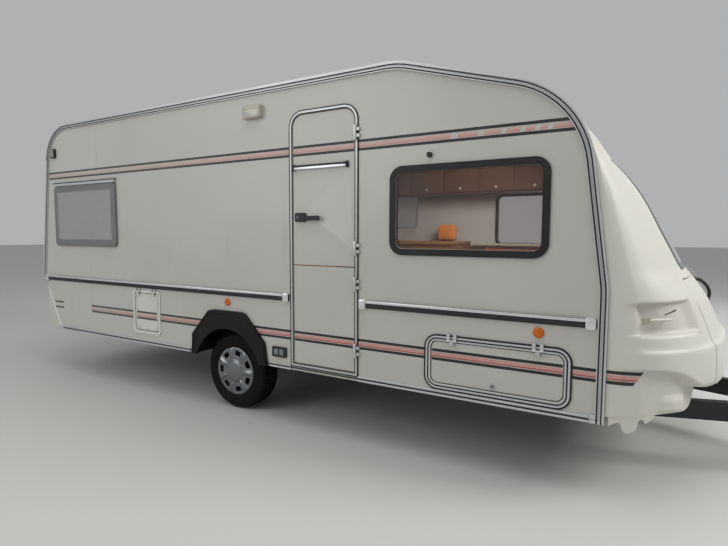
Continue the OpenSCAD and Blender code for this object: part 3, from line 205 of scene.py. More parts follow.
# Finishes: the record's slot, pattern, sRGB colour under plain light, worn colour, roughness and the rest
finishRows = dict(
    wallPaint=("wall_paint", "sheetMetal", "bebdb6", "b2b1a8", 0.36, dict(bump=0.10, coat=0.15, soft=0.01)),
    roofPaint=("roof_paint", "sheetMetal", "c0bfb7", "aaa99f", 0.45, dict(scale=1.3, bump=0.10, soft=0.01)),
    noseGel=("grp", "gelCoat", "cfcdc4", "c4c1b7", 0.46, dict(bump=0.01, soft=0.0005)),
    # pocketPaintedShade: the nose gel-coat made darker for the pocket faces, painted shade in the recess
    pocketPaintedShade=("grp", "gelCoat", "c6c3b9", "bab6ab", 0.5, dict(bump=0.01, soft=0.0005)),
    rearGel=("grp", "gelCoat", "c2c0b8", "b4b1a7", 0.42, dict(bump=0.02, coat=0.08, soft=0.001)),
    lockerBoard=("cabinet_wood", "timber", "b3ab98", "9c937f", 0.6, dict(bump=0.2, soft=0.002)),
    floorBoard=("floor_board", "timber", "5f5a50", "4a463e", 0.7, dict(bump=0.3, soft=0.002)),
    cabinetWood=("cabinet_wood", "timber", "9a6a3a", "7c4f28", 0.42, dict(bump=0.25, soft=0.002)),
    darkWood=("cabinet_wood", "timber", "5a3d2a", "402a1c", 0.45, dict(bump=0.25, soft=0.002)),
    aluminium=("aluminium", "extrusion", "c8c9c9", "b3b5b6", 0.40, dict(bump=0.08, metal=0.45, soft=0.001)),
    brightMetal=("aluminium", "extrusion", "e2e3e3", "cbcccd", 0.28, dict(bump=0.06, metal=0.6, soft=0.001)),
    blackRubber=("black_rubber", "rubber", "111111", "222221", 0.55, dict(bump=0.25, soft=0.001)),
    blackPlastic=("black_plastic", "moulded", "1b1b1c", "2c2c2d", 0.48, dict(bump=0.30, soft=0.0008)),
    spatPlastic=("black_plastic", "moulded", "08080a", "121211", 0.42, dict(bump=0.30, soft=0.001, gleam=0.3)),
    tapeBlack=("black_plastic", "tape", "1f1f1f", "57554f", 0.45, dict(bump=0.05, soft=0.0005)),
    tapeRed=("wall_paint", "tape", "b04a48", "a9948a", 0.45, dict(bump=0.05, soft=0.0005)),
    tapeSalmon=("wall_paint", "tape", "cc8479", "b9aca2", 0.45, dict(bump=0.05, soft=0.0005)),
    tapeBlush=("wall_paint", "tape", "d0a196", "bdb6ac", 0.45, dict(bump=0.05, soft=0.0005)),
    lampGrey=("lamp_housing", "moulded", "8f8b83", "7d786f", 0.4, dict(bump=0.1, soft=0.0008)),
    orangeLens=("orange_lens", "lens", "c05a08", "d06c14", 0.3, dict(coat=0.15)),
    redLens=("red_lens", "lens", "a01512", "b92520", 0.15, dict(coat=0.5)),
    clearLens=("light_plastic", "lens", "bcbab0", "aeaca1", 0.2, dict(coat=0.3)),
    lampBeige=("lamp_housing", "moulded", "b9b3a1", "a69e8b", 0.45, dict(bump=0.1, coat=0.1, soft=0.0008)),
    chassisPaint=("dark_steel", "steel", "1f2022", "35322e", 0.5, dict(bump=0.3, soft=0.001)),
    zincSteel=("galvanised", "steel", "8c9092", "72757a", 0.42, dict(bump=0.2, metal=0.75, soft=0.0008)),
    tyreRubber=("tyre", "rubber", "0e0e0f", "191918", 0.72, dict(bump=0.3, soft=0.0015, gleam=0.2)),
    rimPaint=("rim_paint", "steel", "2a2b2d", "202122", 0.5, dict(bump=0.1, metal=0.3, soft=0.0008)),
    trimSilver=("trim_silver", "steel", "808386", "6c6f72", 0.30, dict(bump=0.05, metal=0.8, coat=0.2, soft=0.0006)),
    orangeCloth=("cloth", "weave", "e8963f", "cf7627", 0.85, dict(bump=0.5, sheen=0.3, soft=0.0008)),
    seatCloth=("cloth", "weave", "b0622e", "8a431f", 0.85, dict(bump=0.5, sheen=0.3, soft=0.0008)),
    whitePlastic=("light_plastic", "moulded", "d2d0c9", "c3c0b7", 0.4, dict(bump=0.12, soft=0.0006)),
    smokedPane=("tinted_pane", "lens", "bebfbe", "c6c7c6", 0.09, dict(clear=0.45, ior=1.3)),
    windowGlass=("tinted_pane", "lens", "ded9d9", "e4e0df", 0.03, dict(clear=0.96, ior=1.10)),
    frostBorder=("tinted_pane", "moulded", "6f7170", "797b7a", 0.5, dict(bump=0.1, soft=0.0006)))
finishes = {name: makeFinish(name, *row[1:-1], **row[-1]) for name, row in finishRows.items()}

# Which finish each CAD node keeps
nodeFinish = dict(
    wallPaint="side_wall_right side_wall_left rear_wall door_upper door_lower locker_flap",
    roofPaint="roof_panel", rearGel="rear_moulding", noseGel="front_panel gas_lid", floorBoard="floor_panel",
    lockerBoard="gas_locker", blackRubber="window_seals", smokedPane="window_panes front_window",
    aluminium="window_rails edge_rails skirt_rails opening_frames hinge_pins lid_hinges",
    blackPlastic="belt_rails wheel_boxes side_fittings lid_handle", spatPlastic="wheel_spats",
    orangeLens="side_markers", redLens="rear_lamps", lampBeige="roof_lamps",
    whitePlastic="roof_hatches grab_handles service_hatch",
    chassisPaint="chassis_rails cross_members drawbar_arms axle coupling handbrake",
    zincSteel="jockey_post jockey_fork steady_brackets steady_front_right steady_front_left "
              "steady_rear_right steady_rear_left",
    cabinetWood="seat_bases dinette_table kitchen_unit wardrobe", seatCloth="cushions",
    tyreRubber="tyre_right tyre_left jockey_wheel", rimPaint="wheel_right wheel_left",
    trimSilver="trim_right trim_left")


def paintNodes(table):
    done = 0
    for finish, names in table.items():
        for name in names.split():
            if name in nodes:
                nodes[name].data.materials.clear()
                nodes[name].data.materials.append(finishes[finish])
                done += 1
    print("stage: finishes on", done, "of", len(nodes), "nodes")


paintNodes(nodeFinish)

# Modelling helpers. Lengths are metres; x is measured from the wheel axle
bodyOf = {node: body for body, held in frame["record"]["behaviour"]["bodies"].items() for node in held}
sides = ((-1, "Right"), (1, "Left"))
bothSides = (-1, 1)
hardTurn = 0.9     # radians; edges that turn more are rounded
softTurn = 40      # degrees; the same for the copies of CAD nodes
weld = 1e-5        # corners of a CAD mesh closer than this are one


def spot(x, y, z):
    return Vector((x + axleX, y, z))


def newPiece(name, bm, finish, body=root, hides=(), smooth=35, also=()):
    mesh = bpy.data.meshes.new(name)
    bm.to_mesh(mesh)
    bm.free()
    piece = bpy.data.objects.new(name, mesh)
    scene.collection.objects.link(piece)
    for label in (finish, *also):
        mesh.materials.append(finishes[label])
    mesh.shade_smooth()
    mesh.set_sharp_from_angle(angle=math.radians(smooth))
    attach(piece, body)
    if hides:
        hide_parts(*hides)
    return piece


def mergeInto(bm, part):
    bmesh.ops.recalc_face_normals(part, faces=part.faces[:])
    held = bpy.data.meshes.new("held")
    part.to_mesh(held)
    part.free()
    bm.from_mesh(held)
    bpy.data.meshes.remove(held)


def roundOff(bm, edges, width, steps=2):
    if edges and width:
        bmesh.ops.bevel(bm, geom=edges, offset=width, offset_type="OFFSET", segments=steps, profile=0.5,
                        affect="EDGES", clamp_overlap=True, material=-1)


def pullOut(part, faces, way):
    # extrudes faces, moves the new ones and gives back their corners
    grown = bmesh.ops.extrude_face_region(part, geom=faces)["geom"]
    tops = [g for g in grown if isinstance(g, bmesh.types.BMVert)]
    bmesh.ops.translate(part, vec=way, verts=tops)
    return tops


def addChain(part, points):
    verts = [part.verts.new(point) for point in points]
    return [part.edges.new(pair) for pair in zip(verts, verts[1:])]


def addBlock(bm, low, high, edge=0.002, steps=2):
    low, high = spot(*low), spot(*high)
    part = bmesh.new()
    bmesh.ops.create_cube(part, size=1.0)
    bmesh.ops.scale(part, vec=high - low, verts=part.verts[:])
    bmesh.ops.translate(part, vec=(low + high) / 2, verts=part.verts[:])
    roundOff(part, part.edges[:], edge, steps)
    mergeInto(bm, part)


def addPlate(bm, corners, near, far, corner=0.0, edge=0.0, ring=0.0, side=-1, steps=6):
    # a flat shape on a side wall: corners are (x, z), near and far stand off the wall's face
    part = bmesh.new()
    verts = [part.verts.new(spot(x, side * (wallY + near), z)) for x, z in corners]
    part.faces.new(verts)
    radii = corner if isinstance(corner, (list, tuple)) else [corner] * len(verts)
    for vert, radius in zip(verts, radii):
        if radius:
            bmesh.ops.bevel(part, geom=[vert], offset=radius, offset_type="OFFSET", segments=steps, profile=0.5,
                            affect="VERTICES", material=-1)
    if ring:
        rim = bmesh.ops.inset_region(part, faces=part.faces[:], thickness=ring, use_boundary=True,
                                     use_even_offset=True)["faces"]
        bmesh.ops.delete(part, geom=[f for f in part.faces if f not in rim], context="FACES")
    tops = set(pullOut(part, part.faces[:], (0, side * (far - near), 0)))
    bmesh.ops.recalc_face_normals(part, faces=part.faces[:])
    roundOff(part, [e for e in part.edges if e.calc_face_angle(0) > hardTurn and set(e.verts) <= tops], edge)
    mergeInto(bm, part)


def box4(x0, z0, x1, z1):
    return [(x0, z0), (x1, z0), (x1, z1), (x0, z1)]


def addPlates(name, finish, rows, body=root, on=(-1,), hides=()):
    # one piece made of plates: rows are (form, boxes), and a form is near, far, corner, edge and ring
    bm = bmesh.new()
    for side in on:
        for form, boxes in rows:
            for box in boxes:
                addPlate(bm, box4(*box), *form, side=side)
    newPiece(name, bm, finish, body, hides)


def addSpun(bm, profile, centre, axis, steps=48):
    # profile points are (radius, height along the axis); a closed shape ends on the axis or where it began
    part = bmesh.new()
    axis = Vector(axis)
    out = axis.orthogonal().normalized()
    verts = [part.verts.new(Vector(centre) + out * r + axis * h) for r, h in profile]
    edges = [part.edges.new(pair) for pair in zip(verts, verts[1:])]
    bmesh.ops.spin(part, geom=verts + edges, cent=centre, axis=axis, angle=2 * math.pi, steps=steps,
                   use_merge=True)
    bmesh.ops.remove_doubles(part, verts=part.verts[:], dist=1e-6)
    mergeInto(bm, part)


def addTube(bm, points, radius, sides=3, closed=False):
    curve = bpy.data.curves.new("run", "CURVE")
    curve.dimensions, curve.bevel_depth, curve.bevel_resolution = "3D", radius, sides
    curve.use_fill_caps = True
    line = curve.splines.new("POLY")
    line.points.add(len(points) - 1)
    for place, point in zip(line.points, points):
        place.co = (*point, 1)
    line.use_cyclic_u = closed
    holder = bpy.data.objects.new("run", curve)
    bm.from_mesh(holder.to_mesh())
    holder.to_mesh_clear()
    bpy.data.objects.remove(holder)
    bpy.data.curves.remove(curve)


def copyNode(node, flat=0.3):
    bm = bmesh.new()
    bm.from_mesh(nodes[node].data)
    bmesh.ops.remove_doubles(bm, verts=bm.verts[:], dist=weld)
    if flat:
        bmesh.ops.dissolve_limit(bm, angle_limit=math.radians(flat), verts=bm.verts[:], edges=bm.edges[:])
    return bm


# Rounded copies of CAD nodes: edge radius and bevel steps of each kind
softEdges = dict(
    rail=(0.0025, 2), belt=(0.004, 3), leaf=(0.003, 2), frame=(0.002, 2), seal=(0.010, 4), fitting=(0.002, 2),
    wood=(0.003, 2), chassis=(0.003, 2), steel=(0.002, 2), plastic=(0.004, 3), rear=(0.012, 4))


def dressNode(node, finish, kind, paint=()):
    # paint gives another finish to the faces whose centre passes a test
    bm = copyNode(node)
    for face in bm.faces:
        c = face.calc_center_median()
        for index, (label, test) in enumerate(paint):
            if test(c.x - axleX, c.y, c.z):
                face.material_index = index + 1
    piece = newPiece(node + "Dressed", bm, finish, bodyOf[node], (node,), also=[label for label, test in paint])
    rounding = piece.modifiers.new("softEdges", "BEVEL")
    (rounding.width, rounding.segments), rounding.limit_method = softEdges[kind], "ANGLE"
    rounding.angle_limit, rounding.use_clamp_overlap = math.radians(softTurn), True
    rounding.harden_normals = True
    return piece


# Stripe tapes: two dark lines with thin red ones between them, laid on each panel they cross
stripes = dict(
    lines=[("tapeBlack", 0.0, 0.017), ("tapeRed", 0.022, 0.029), ("tapeSalmon", 0.031, 0.036),
           ("tapeSalmon", 0.040, 0.047), ("tapeBlack", 0.053, 0.070)],
    paler=dict(tapeRed="tapeSalmon", tapeSalmon="tapeBlush"), upper=1.924, lower=0.637, high=0.07,
    near=0.0002, thick=0.0008, slant=0.020, solidTo=1.806, railX=2.503, railLean=0.55,
    dashes=[(1.837, 1.954), (1.988, 2.086), (2.113, 2.188), (2.217, 2.266), (2.292, 2.330),
            (2.357, 2.466)],
    upperRuns={-1: [(root, -2.452, 0.6245), ("door_upper_body", 0.658, 1.152), (root, 1.1855, 2.503)],
               1: [(root, -2.452, 2.503)]},
    lowerRuns={-1: [(root, -1.808, -1.1655), ("service_hatch_body", -1.116, -0.846),
                    (root, -0.7965, "behind"), (root, "ahead", 0.6245),
                    ("door_lower_body", 0.658, 1.152), (root, 1.1855, 1.6595),
                    ("locker_flap_body", 1.707, 2.453), (root, 2.5005, 2.614)],
               1: [(root, -1.808, "behind"), (root, "ahead", 2.614)]},
    rearRun=(root, -2.440, -2.291), spatZ=0.585,
    spatEdges=dict(behind=(-0.385, 0.9353, 0.02), ahead=(0.384, -0.9303, -0.02)),
    nose=(2.663, 2.782, 0.044), noseSteps=14, noseFlat=0.9, noseLift=0.0012, noseThick=0.002)
tapes = {}


def layTape(body, finish, x0, x1, z0, z1, side=-1, slant=0.0):
    bm = tapes.setdefault((body, finish), bmesh.new())
    corners = [(x0, z0), (x1, z0), (x1 + slant, z1), (x0 + slant, z1)]
    addPlate(bm, corners, stripes["near"], stripes["thick"], side=side)


def layUpper(side, finish, low, high):
    z0, z1 = stripes["upper"] + low, stripes["upper"] + high
    paler = stripes["paler"].get(finish, finish)
    for body, x0, x1 in stripes["upperRuns"][side]:
        whole = finish == "tapeBlack" or x1 < stripes["solidTo"]
        end = min(x1, stripes["railX"] - (z1 - stripes["upper"]) * stripes["railLean"])
        layTape(body, paler, x0, end if whole else stripes["solidTo"], z0, z1, side)
    if finish != "tapeBlack":
        lean = stripes["slant"] / stripes["high"]
        for x0, x1 in stripes["dashes"]:
            layTape(root, paler, x0 + low * lean, x1 + low * lean, z0, z1, side, (high - low) * lean)


def layLower(side, finish, low, high):
    z0, z1 = stripes["lower"] + low, stripes["lower"] + high
    edges = {label: x + (z1 - stripes["spatZ"]) * lean + tuck
             for label, (x, lean, tuck) in stripes["spatEdges"].items()}
    runs = stripes["lowerRuns"][side] + ([stripes["rearRun"]] if finish == "tapeBlack" else [])
    for body, x0, x1 in runs:
        layTape(body, finish, edges.get(x0, x0), edges.get(x1, x1), z0, z1, side)


def noseTree(node):
    bm = copyNode(node, 0)
    tree = BVHTree.FromBMesh(bm)
    bm.free()
    return tree


def layNoseStripes(tree):
    x0, x1, lean = stripes["nose"]
    for side in bothSides:
        for finish, low, high in stripes["lines"]:
            z0, z1 = stripes["lower"] + low, stripes["lower"] + high
            part = bmesh.new()
            bmesh.ops.create_grid(part, x_segments=stripes["noseSteps"], y_segments=2, size=0.5)
            for vert in part.verts:
                z = z0 + (vert.co.y + 0.5) * (z1 - z0)
                end = x1 + (z - stripes["lower"]) / stripes["high"] * lean
                start = spot(x0 + (vert.co.x + 0.5) * (end - x0), side * 2, z)
                hit = tree.ray_cast(start, Vector((0, -side, 0)))[0]
                place = hit if hit else start - Vector((0, side * stripes["noseFlat"], 0))
                vert.co = place + Vector((0, side * stripes["noseLift"], 0))
            pullOut(part, part.faces[:], (0, -side * stripes["noseThick"], 0))
            mergeInto(tapes.setdefault((root, finish), bmesh.new()), part)


panelTree = noseTree("front_panel")
for side in bothSides:
    for line in stripes["lines"]:
        layUpper(side, *line)
        layLower(side, *line)
layNoseStripes(panelTree)
for (body, finish), bm in tapes.items():
    newPiece("stripe-" + finish + "-" + body, bm, finish, body)
print("stage: stripes laid,", len(tapes), "pieces")

# Rails: bright top line and end caps on the belt rail, dark grooves in the edge, skirt and pane rails
rails = dict(
    belt=(0.947, 0.964), beltForm=(0.013, 0.0170, 0.0, 0.002),
    beltRuns={-1: [(-2.575, 0.611), (1.197, 2.607)], 1: [(-2.575, 2.607)]},
    capWide=0.050, cap=(0.908, 0.971), capForm=(0.0002, 0.0215, 0.010, 0.004),
    skirts=[(-2.300, -0.400), (0.412, 2.585)], skirtGroove=(0.435, 0.443), skirtForm=(0.0088, 0.0098),
    outline=[(-2.630, 0.950, 0), (-2.440, 2.435, 0.350), (1.460, 2.435, 0.600), (2.525, 2.127, 0.550),
             (2.660, 1.120, 0.600), (2.660, 0.420, 0)],
    grooves=[(0.0105, 0.0070, (-2.480, 2.119, 0)), (0.0315, 0.0080, (-2.630, 0.950, 0))],
    grooveY=(1.1618, 1.1630), rearEdge=[(-2.350, 0.420, 0), (-2.630, 0.950, 0)],
    rearProfile=[(0.0, 1.1490), (0.002, 1.1585), (0.016, 1.1585), (0.018, 1.1490)],
    paneLines=[(-2.348, -1.356, 1.874)], paneLine=0.009, paneForm=(0.0002, 0.0265, 0.0, 0.002))


def insetPath(corners, inset, steps=12):
    # an outline of (x, z, radius) corners that turn to the right, moved inwards
    ways = [(Vector(b[:2]) - Vector(a[:2])).normalized() for a, b in zip(corners, corners[1:])]
    ins = [Vector((way.y, -way.x)) for way in ways]
    path = [Vector(corners[0][:2]) + ins[0] * inset]
    for k in range(1, len(ways)):
        middle = (ins[k - 1] + ins[k]).normalized()
        lean = math.cos(ins[k - 1].angle(ins[k]) / 2)
        radius = max(corners[k][2] - inset, 0.001)
        centre = Vector(corners[k][:2]) + middle * (inset + radius) / lean
        path += [centre - ins[k - 1].slerp(ins[k], step / steps) * radius for step in range(steps + 1)]
    return path + [Vector(corners[-1][:2]) + ins[-1] * inset]


def addSwept(bm, corners, profile, side, steps=12):
    # a closed profile of (inset, y) points carried along an outline
    part = bmesh.new()
    runs = [addChain(part, [spot(p.x, side * y, p.y) for p in insetPath(corners, inset, steps)])
            for inset, y in profile]
    for one, two in zip(runs, runs[1:] + runs[:1]):
        bmesh.ops.bridge_loops(part, edges=one + two)
    bmesh.ops.holes_fill(part, edges=[e for e in part.edges if e.is_boundary])
    mergeInto(bm, part)


def addOutlineGroove(bm, side, inset, width, first):
    low, high = rails["grooveY"]
    profile = [(inset, low), (inset, high), (inset + width, high), (inset + width, low)]
    addSwept(bm, [first] + rails["outline"][1:], profile, side)


def dressRails():
    bright, dark = bmesh.new(), bmesh.new()
    (beltLow, beltHigh), (capLow, capHigh), wide = rails["belt"], rails["cap"], rails["capWide"]
    low, high = rails["skirtGroove"]
    for side in bothSides:
        for x0, x1 in rails["beltRuns"][side]:
            addPlate(bright, box4(x0, beltLow, x1, beltHigh), *rails["beltForm"], side=side)
            for x in (x0, x1 - wide):
                addPlate(bright, box4(x, capLow, x + wide, capHigh), *rails["capForm"], side=side)
        for groove in rails["grooves"]:
            addOutlineGroove(dark, side, *groove)
        for x0, x1 in rails["skirts"]:
            addPlate(dark, box4(x0, low, x1, high), *rails["skirtForm"], side=side)
        addSwept(bright, rails["rearEdge"], rails["rearProfile"], side)
        for x0, x1, z in rails["paneLines"]:
            addPlate(dark, box4(x0, z, x1, z + rails["paneLine"]), *rails["paneForm"], side=side)
    newPiece("beltBrightLines", bright, "brightMetal")
    newPiece("railGrooves", dark, "blackRubber")


dressRails()
for node in ("edge_rails", "skirt_rails", "window_rails"):
    dressNode(node, "aluminium", "rail")
dressNode("belt_rails", "blackPlastic", "belt")
print("stage: rails dressed")

# Door, flaps and frames: dark lines round the frames, black lock, rain rail, white hatch frame
doors = dict(
    frame=(0.625, 0.450, 1.185, 2.230), top=0.110, locker=(1.660, 0.460, 2.500, 0.796), lockerTop=0.080,
    lines=((0.0010, 0.0070, 0.0001, 0.0080), (-0.0195, 0.0060, 0.0060, 0.0080)), lockerLine=0.0022,
    lineSteps=10, lockSteps=24, skin=-1.1505, hingeX=1.14, railZ=1.7, hatchX=-0.75,
    plates=dict(
        rainRailEnds=("blackPlastic", [
            ((0.0005, 0.0185, 0.004, 0.003), [(0.659, 1.826, 0.675, 1.868), (1.095, 1.826, 1.111, 1.868)]),
            ((0.0005, 0.0155, 0.0, 0.002), [(0.665, 1.848, 1.103, 1.862)])], "door_upper_body"),
        rainRailBright=("brightMetal", [
            ((0.010, 0.0175, 0.0, 0.003), [(0.673, 1.831, 1.097, 1.848)])], "door_upper_body"),
        hingeCovers=("aluminium", [
            ((0.0205, 0.0230, 0.006, 0.0015), [(1.157, z - 0.047, 1.176, z + 0.047)
                                               for z in (1.30, 2.04, 0.625, 1.065)])]),
        hatchRim=("whitePlastic", [
            ((0.0002, 0.0045, 0.014, 0.0015, 0.012), [(-1.129, 0.546, -0.833, 0.864)])], "service_hatch_body")),
    lockFaces=dict(
        lockerLockFace=("frostBorder", "locker_flap_body", (2.080, 0.530), [
            (0.0, 0.0125), (0.010, 0.0125), (0.012, 0.011), (0.012, 0.0075), (0.0, 0.0075)]),
        doorLockFace=("zincSteel", "door_upper_body", (0.6985, 1.507), [
            (0.0, 0.0155), (0.005, 0.0155), (0.0065, 0.0145), (0.0065, 0.012), (0.0, 0.012)])))


def grown4(box, grow):
    x0, z0, x1, z1 = box
    return box4(x0 - grow, z0 - grow, x1 + grow, z1 + grow)


# dark rings round the door and locker frames: the outer one stands for sealant at the wall, the inner one is partly
# painted shade along the gap at the frame's inner edge
def frameLines():
    bm, steps = bmesh.new(), doors["lineSteps"]
    for grow, width, near, far in doors["lines"]:
        radii = [0, 0, doors["top"] + grow, doors["top"] + grow]
        addPlate(bm, grown4(doors["frame"], grow), near, far, corner=radii, ring=width, steps=steps)
        addPlate(bm, grown4(doors["locker"], grow), near, far, corner=doors["lockerTop"] + grow,
                 ring=width + doors["lockerLine"], steps=steps)
    newPiece("frameDarkLines", bm, "blackRubber")


def addLockFaces():
    for name, (finish, body, (x, z), profile) in doors["lockFaces"].items():
        bm = bmesh.new()
        addSpun(bm, profile, spot(x, -wallY, z), (0, -1, 0), doors["lockSteps"])
        newPiece(name, bm, finish, body)


def isProud(x, y, z):
    return y < doors["skin"]


def isLock(x, y, z):
    return isProud(x, y, z) and x < doors["hingeX"] and z < doors["railZ"]


def isRainRail(x, y, z):
    return isProud(x, y, z) and x < doors["hingeX"] and z > doors["railZ"]


frameLines()
for name, row in doors["plates"].items():
    addPlates(name, *row)
addLockFaces()
dressNode("door_upper", "wallPaint", "leaf", [("blackPlastic", isLock), ("aluminium", isRainRail)])
dressNode("door_lower", "wallPaint", "leaf")
dressNode("locker_flap", "wallPaint", "leaf", [("aluminium", isProud)])
dressNode("service_hatch", "whitePlastic", "leaf")
dressNode("opening_frames", "aluminium", "frame", [("whitePlastic", lambda x, y, z: x < doors["hatchX"])])
print("stage: door and flaps dressed")

# Nose moulding, its lid and the front window: CAD copies rounded by subdivision
noseForm = dict(
    levels=2, join=(35, 120), sharp=20, hold=0.82, rimTurn=60, rim=0.95, smooth=60,
    pocket=(0.81, 1.12, 0.893, 1.052), clear=(0.480, 1.225, 1.815))


def smoothCopy(node, finish, also=(), pick=None, body=root):
    bm = copyNode(node, 0)
    facing, shape = (math.radians(turn) for turn in noseForm["join"])
    bmesh.ops.join_triangles(bm, faces=bm.faces[:], angle_face_threshold=facing, angle_shape_threshold=shape)
    crease = bm.edges.layers.float.new("crease_edge")
    for edge in bm.edges:
        bend = math.degrees(edge.calc_face_angle(0))
        if bend > noseForm["rimTurn"]:
            edge[crease] = noseForm["rim"]
        elif bend > noseForm["sharp"]:
            edge[crease] = noseForm["hold"]
    for face in bm.faces:
        if pick and pick(face.calc_center_median()):
            face.material_index = 1
    piece = newPiece(node + "Moulded", bm, finish, body, (node,), noseForm["smooth"], also)
    smoothing = piece.modifiers.new("moulding", "SUBSURF")
    smoothing.levels = smoothing.render_levels = noseForm["levels"]


# faces inside the pocket recess, which get the darker gel-coat as painted shade
def isPocketShade(c):
    y0, y1, z0, z1 = noseForm["pocket"]
    return y0 < abs(c.y) < y1 and z0 < c.z < z1


def isFrosted(c):
    half, z0, z1 = noseForm["clear"]
    return abs(c.y) > half or c.z < z0 or c.z > z1


# the pocket faces of the nose take a darker gel-coat: painted shade in the recess
smoothCopy("front_panel", "noseGel", ("pocketPaintedShade",), isPocketShade)
smoothCopy("gas_lid", "noseGel", body="gas_lid_body")
smoothCopy("front_window", "smokedPane", ("frostBorder",), isFrosted)

# Nose fittings: window rail, painted shade in the pockets (a grey pad for the grip recess and a dark tube for the
# gap behind the grip), lip and bulge of the skirt, bow on the lid
noseBits = dict(
    ahead=5, bowSides=5, bowFootSteps=24,
    rail=(0.520, 1.838, 0.010), railSteps=16,
    # grey pad in each pocket: painted shade of the grip recess
    shadePad=[(2.803, -1.071, 0.977), (2.868, -1.030, 0.977), (2.866, -1.034, 0.956), (2.812, -1.068, 0.939)],
    shadePadForm=(0.010, 0.0015, 0.001), shadeSlitRound=0.0035,
    # dark tube in each pocket: painted shade of the gap behind the grip
    shadeSlit=[(2.903, -0.995, 0.989), (2.925, -0.967, 0.998), (2.953, -0.927, 1.009)],
    flange=[(2.677, 0.413), (2.692, 0.425), (2.718, 0.440), (2.730, 0.439), (2.743, 0.404), (2.755, 0.386),
            (2.776, 0.389), (2.799, 0.406), (2.808, 0.425), (2.811, 0.449), (2.817, 0.460), (2.825, 0.465),
            (2.835, 0.460), (2.839, 0.447), (2.846, 0.441), (2.867, 0.458), (2.883, 0.478)],
    hem=0.53, flangeIn=0.004, flangeThick=0.006,
    foot=((2.865, -1.078), (3.004, -0.918), 0.600, 0.494, 0.022), footWay=(0.65, 0.76), footSteps=18, footAhead=0.2,
    footRise=((0.7, 0.12), (0.55, 0.16)), footSunk=0.003, footThick=0.012,
    bow=(0.985, 1.105), bowOut=0.034, bowRound=0.0105, bowFull=0.55, bowSteps=16,
    bowFoot=[(0, 0.009), (0.012, 0.009), (0.0155, 0.006), (0.0165, -0.004), (0, -0.004)])


def addPad(bm, points, side, sunk, out, edge=0.0):
    # a pad on a slanted face of the nose; points are given on the right and mirrored for the left
    part = bmesh.new()
    face = part.faces.new([part.verts.new(spot(x, -side * y, z)) for x, y, z in points])
    face.normal_update()
    lift = face.normal * (1 if face.normal.dot(Vector((1, side, 0))) > 0 else -1)
    bmesh.ops.translate(part, vec=lift * -sunk, verts=part.verts[:])
    pullOut(part, [face], lift * (sunk + out))
    bmesh.ops.recalc_face_normals(part, faces=part.faces[:])
    roundOff(part, part.edges[:], edge)
    mergeInto(bm, part)


def addFlange(bm, tree, side):
    # the thin lip that hangs below the skirt, following its curve
    part, hem, upper, lower = bmesh.new(), noseBits["hem"], [], []
    for x, low in noseBits["flange"]:
        at = spot(x, 0, 0).x
        y = tree.ray_cast(Vector((at, side * 2, hem)), Vector((0, -side, 0)))[0].y - side * noseBits["flangeIn"]
        upper.append((at, y, hem))
        lower.append((at, y, low))
    bmesh.ops.bridge_loops(part, edges=addChain(part, upper) + addChain(part, lower))
    pullOut(part, part.faces[:], (0, -side * noseBits["flangeThick"], 0))
    mergeInto(bm, part)


def swell(t, rise, drop):
    # climbs gently over the first share and falls off steeply over the last one
    climb = min(t / rise, 1)
    fall = max((t - 1 + drop) / drop, 0)
    return climb * climb * (3 - 2 * climb) * math.sqrt(max(1 - fall * fall, 0))


def addFoot(bm, tree, side):
    # the bulge at the lower front corner of the skirt
    (x0, y0), (x1, y1), high, low, depth = noseBits["foot"]
    (along, across), (level, upright) = noseBits["footWay"], noseBits["footRise"]
    out, n = Vector((along, side * across, 0)), noseBits["footSteps"]
    part = bmesh.new()
    bmesh.ops.create_grid(part, x_segments=n, y_segments=n, size=0.5)
    for vert in part.verts:
        u, v = vert.co.x + 0.5, vert.co.y + 0.5
        z = high + (low - high) * v
        at = spot(x0 + (x1 - x0) * u, -side * (y0 + (y1 - y0) * u), max(z, noseBits["hem"]))
        hit = tree.ray_cast(at + out * noseBits["footAhead"], -out)[0]
        lift = depth * swell(u, *level) * swell(v, *upright) - noseBits["footSunk"]
        vert.co = Vector((hit.x, hit.y, z)) + out * lift
    pullOut(part, part.faces[:], out * -noseBits["footThick"])
    mergeInto(bm, part)


def fromAhead(tree, y, z):
    return tree.ray_cast(Vector((noseBits["ahead"], y, z)), Vector((-1, 0, 0)))[0]


def addNoseBits(panel, lid):
    rail, greyShade, dark, tabs, bow = (bmesh.new() for k in range(5))
    half, z, radius = noseBits["rail"]
    steps = noseBits["railSteps"]
    addTube(rail, [fromAhead(panel, half * (k / (steps / 2) - 1), z) for k in range(steps + 1)], radius)
    for side in bothSides:
        # a grey pad in each pocket: painted shade of the grip recess
        addPad(greyShade, noseBits["shadePad"], side, *noseBits["shadePadForm"])
        addFlange(tabs, panel, side)
        addFoot(tabs, panel, side)
        # a dark tube in each pocket: painted shade of the gap behind the grip
        addTube(dark, [spot(x, -side * y, z) for x, y, z in noseBits["shadeSlit"]], noseBits["shadeSlitRound"])
    feet = [fromAhead(lid, 0, z) for z in noseBits["bow"]]
    along = (feet[1] - feet[0]).normalized()
    out, steps = Vector((along.z, 0, -along.x)), noseBits["bowSteps"]
    rise = [math.sin(math.pi * k / steps) ** noseBits["bowFull"] for k in range(steps + 1)]
    arch = [feet[0].lerp(feet[1], k / steps) + out * noseBits["bowOut"] * up for k, up in enumerate(rise)]
    addTube(bow, arch, noseBits["bowRound"], noseBits["bowSides"])
    for foot in feet:
        addSpun(bow, noseBits["bowFoot"], foot, out, noseBits["bowFootSteps"])
    newPiece("frontWindowRail", rail, "aluminium")
    newPiece("pocketShadePad", greyShade, "lampBeige")
    newPiece("pocketSlitShade", dark, "blackRubber")
    newPiece("skirtTabs", tabs, "noseGel", smooth=50)
    newPiece("lidBow", bow, "blackPlastic", "gas_lid_body", ("lid_handle",), smooth=45)


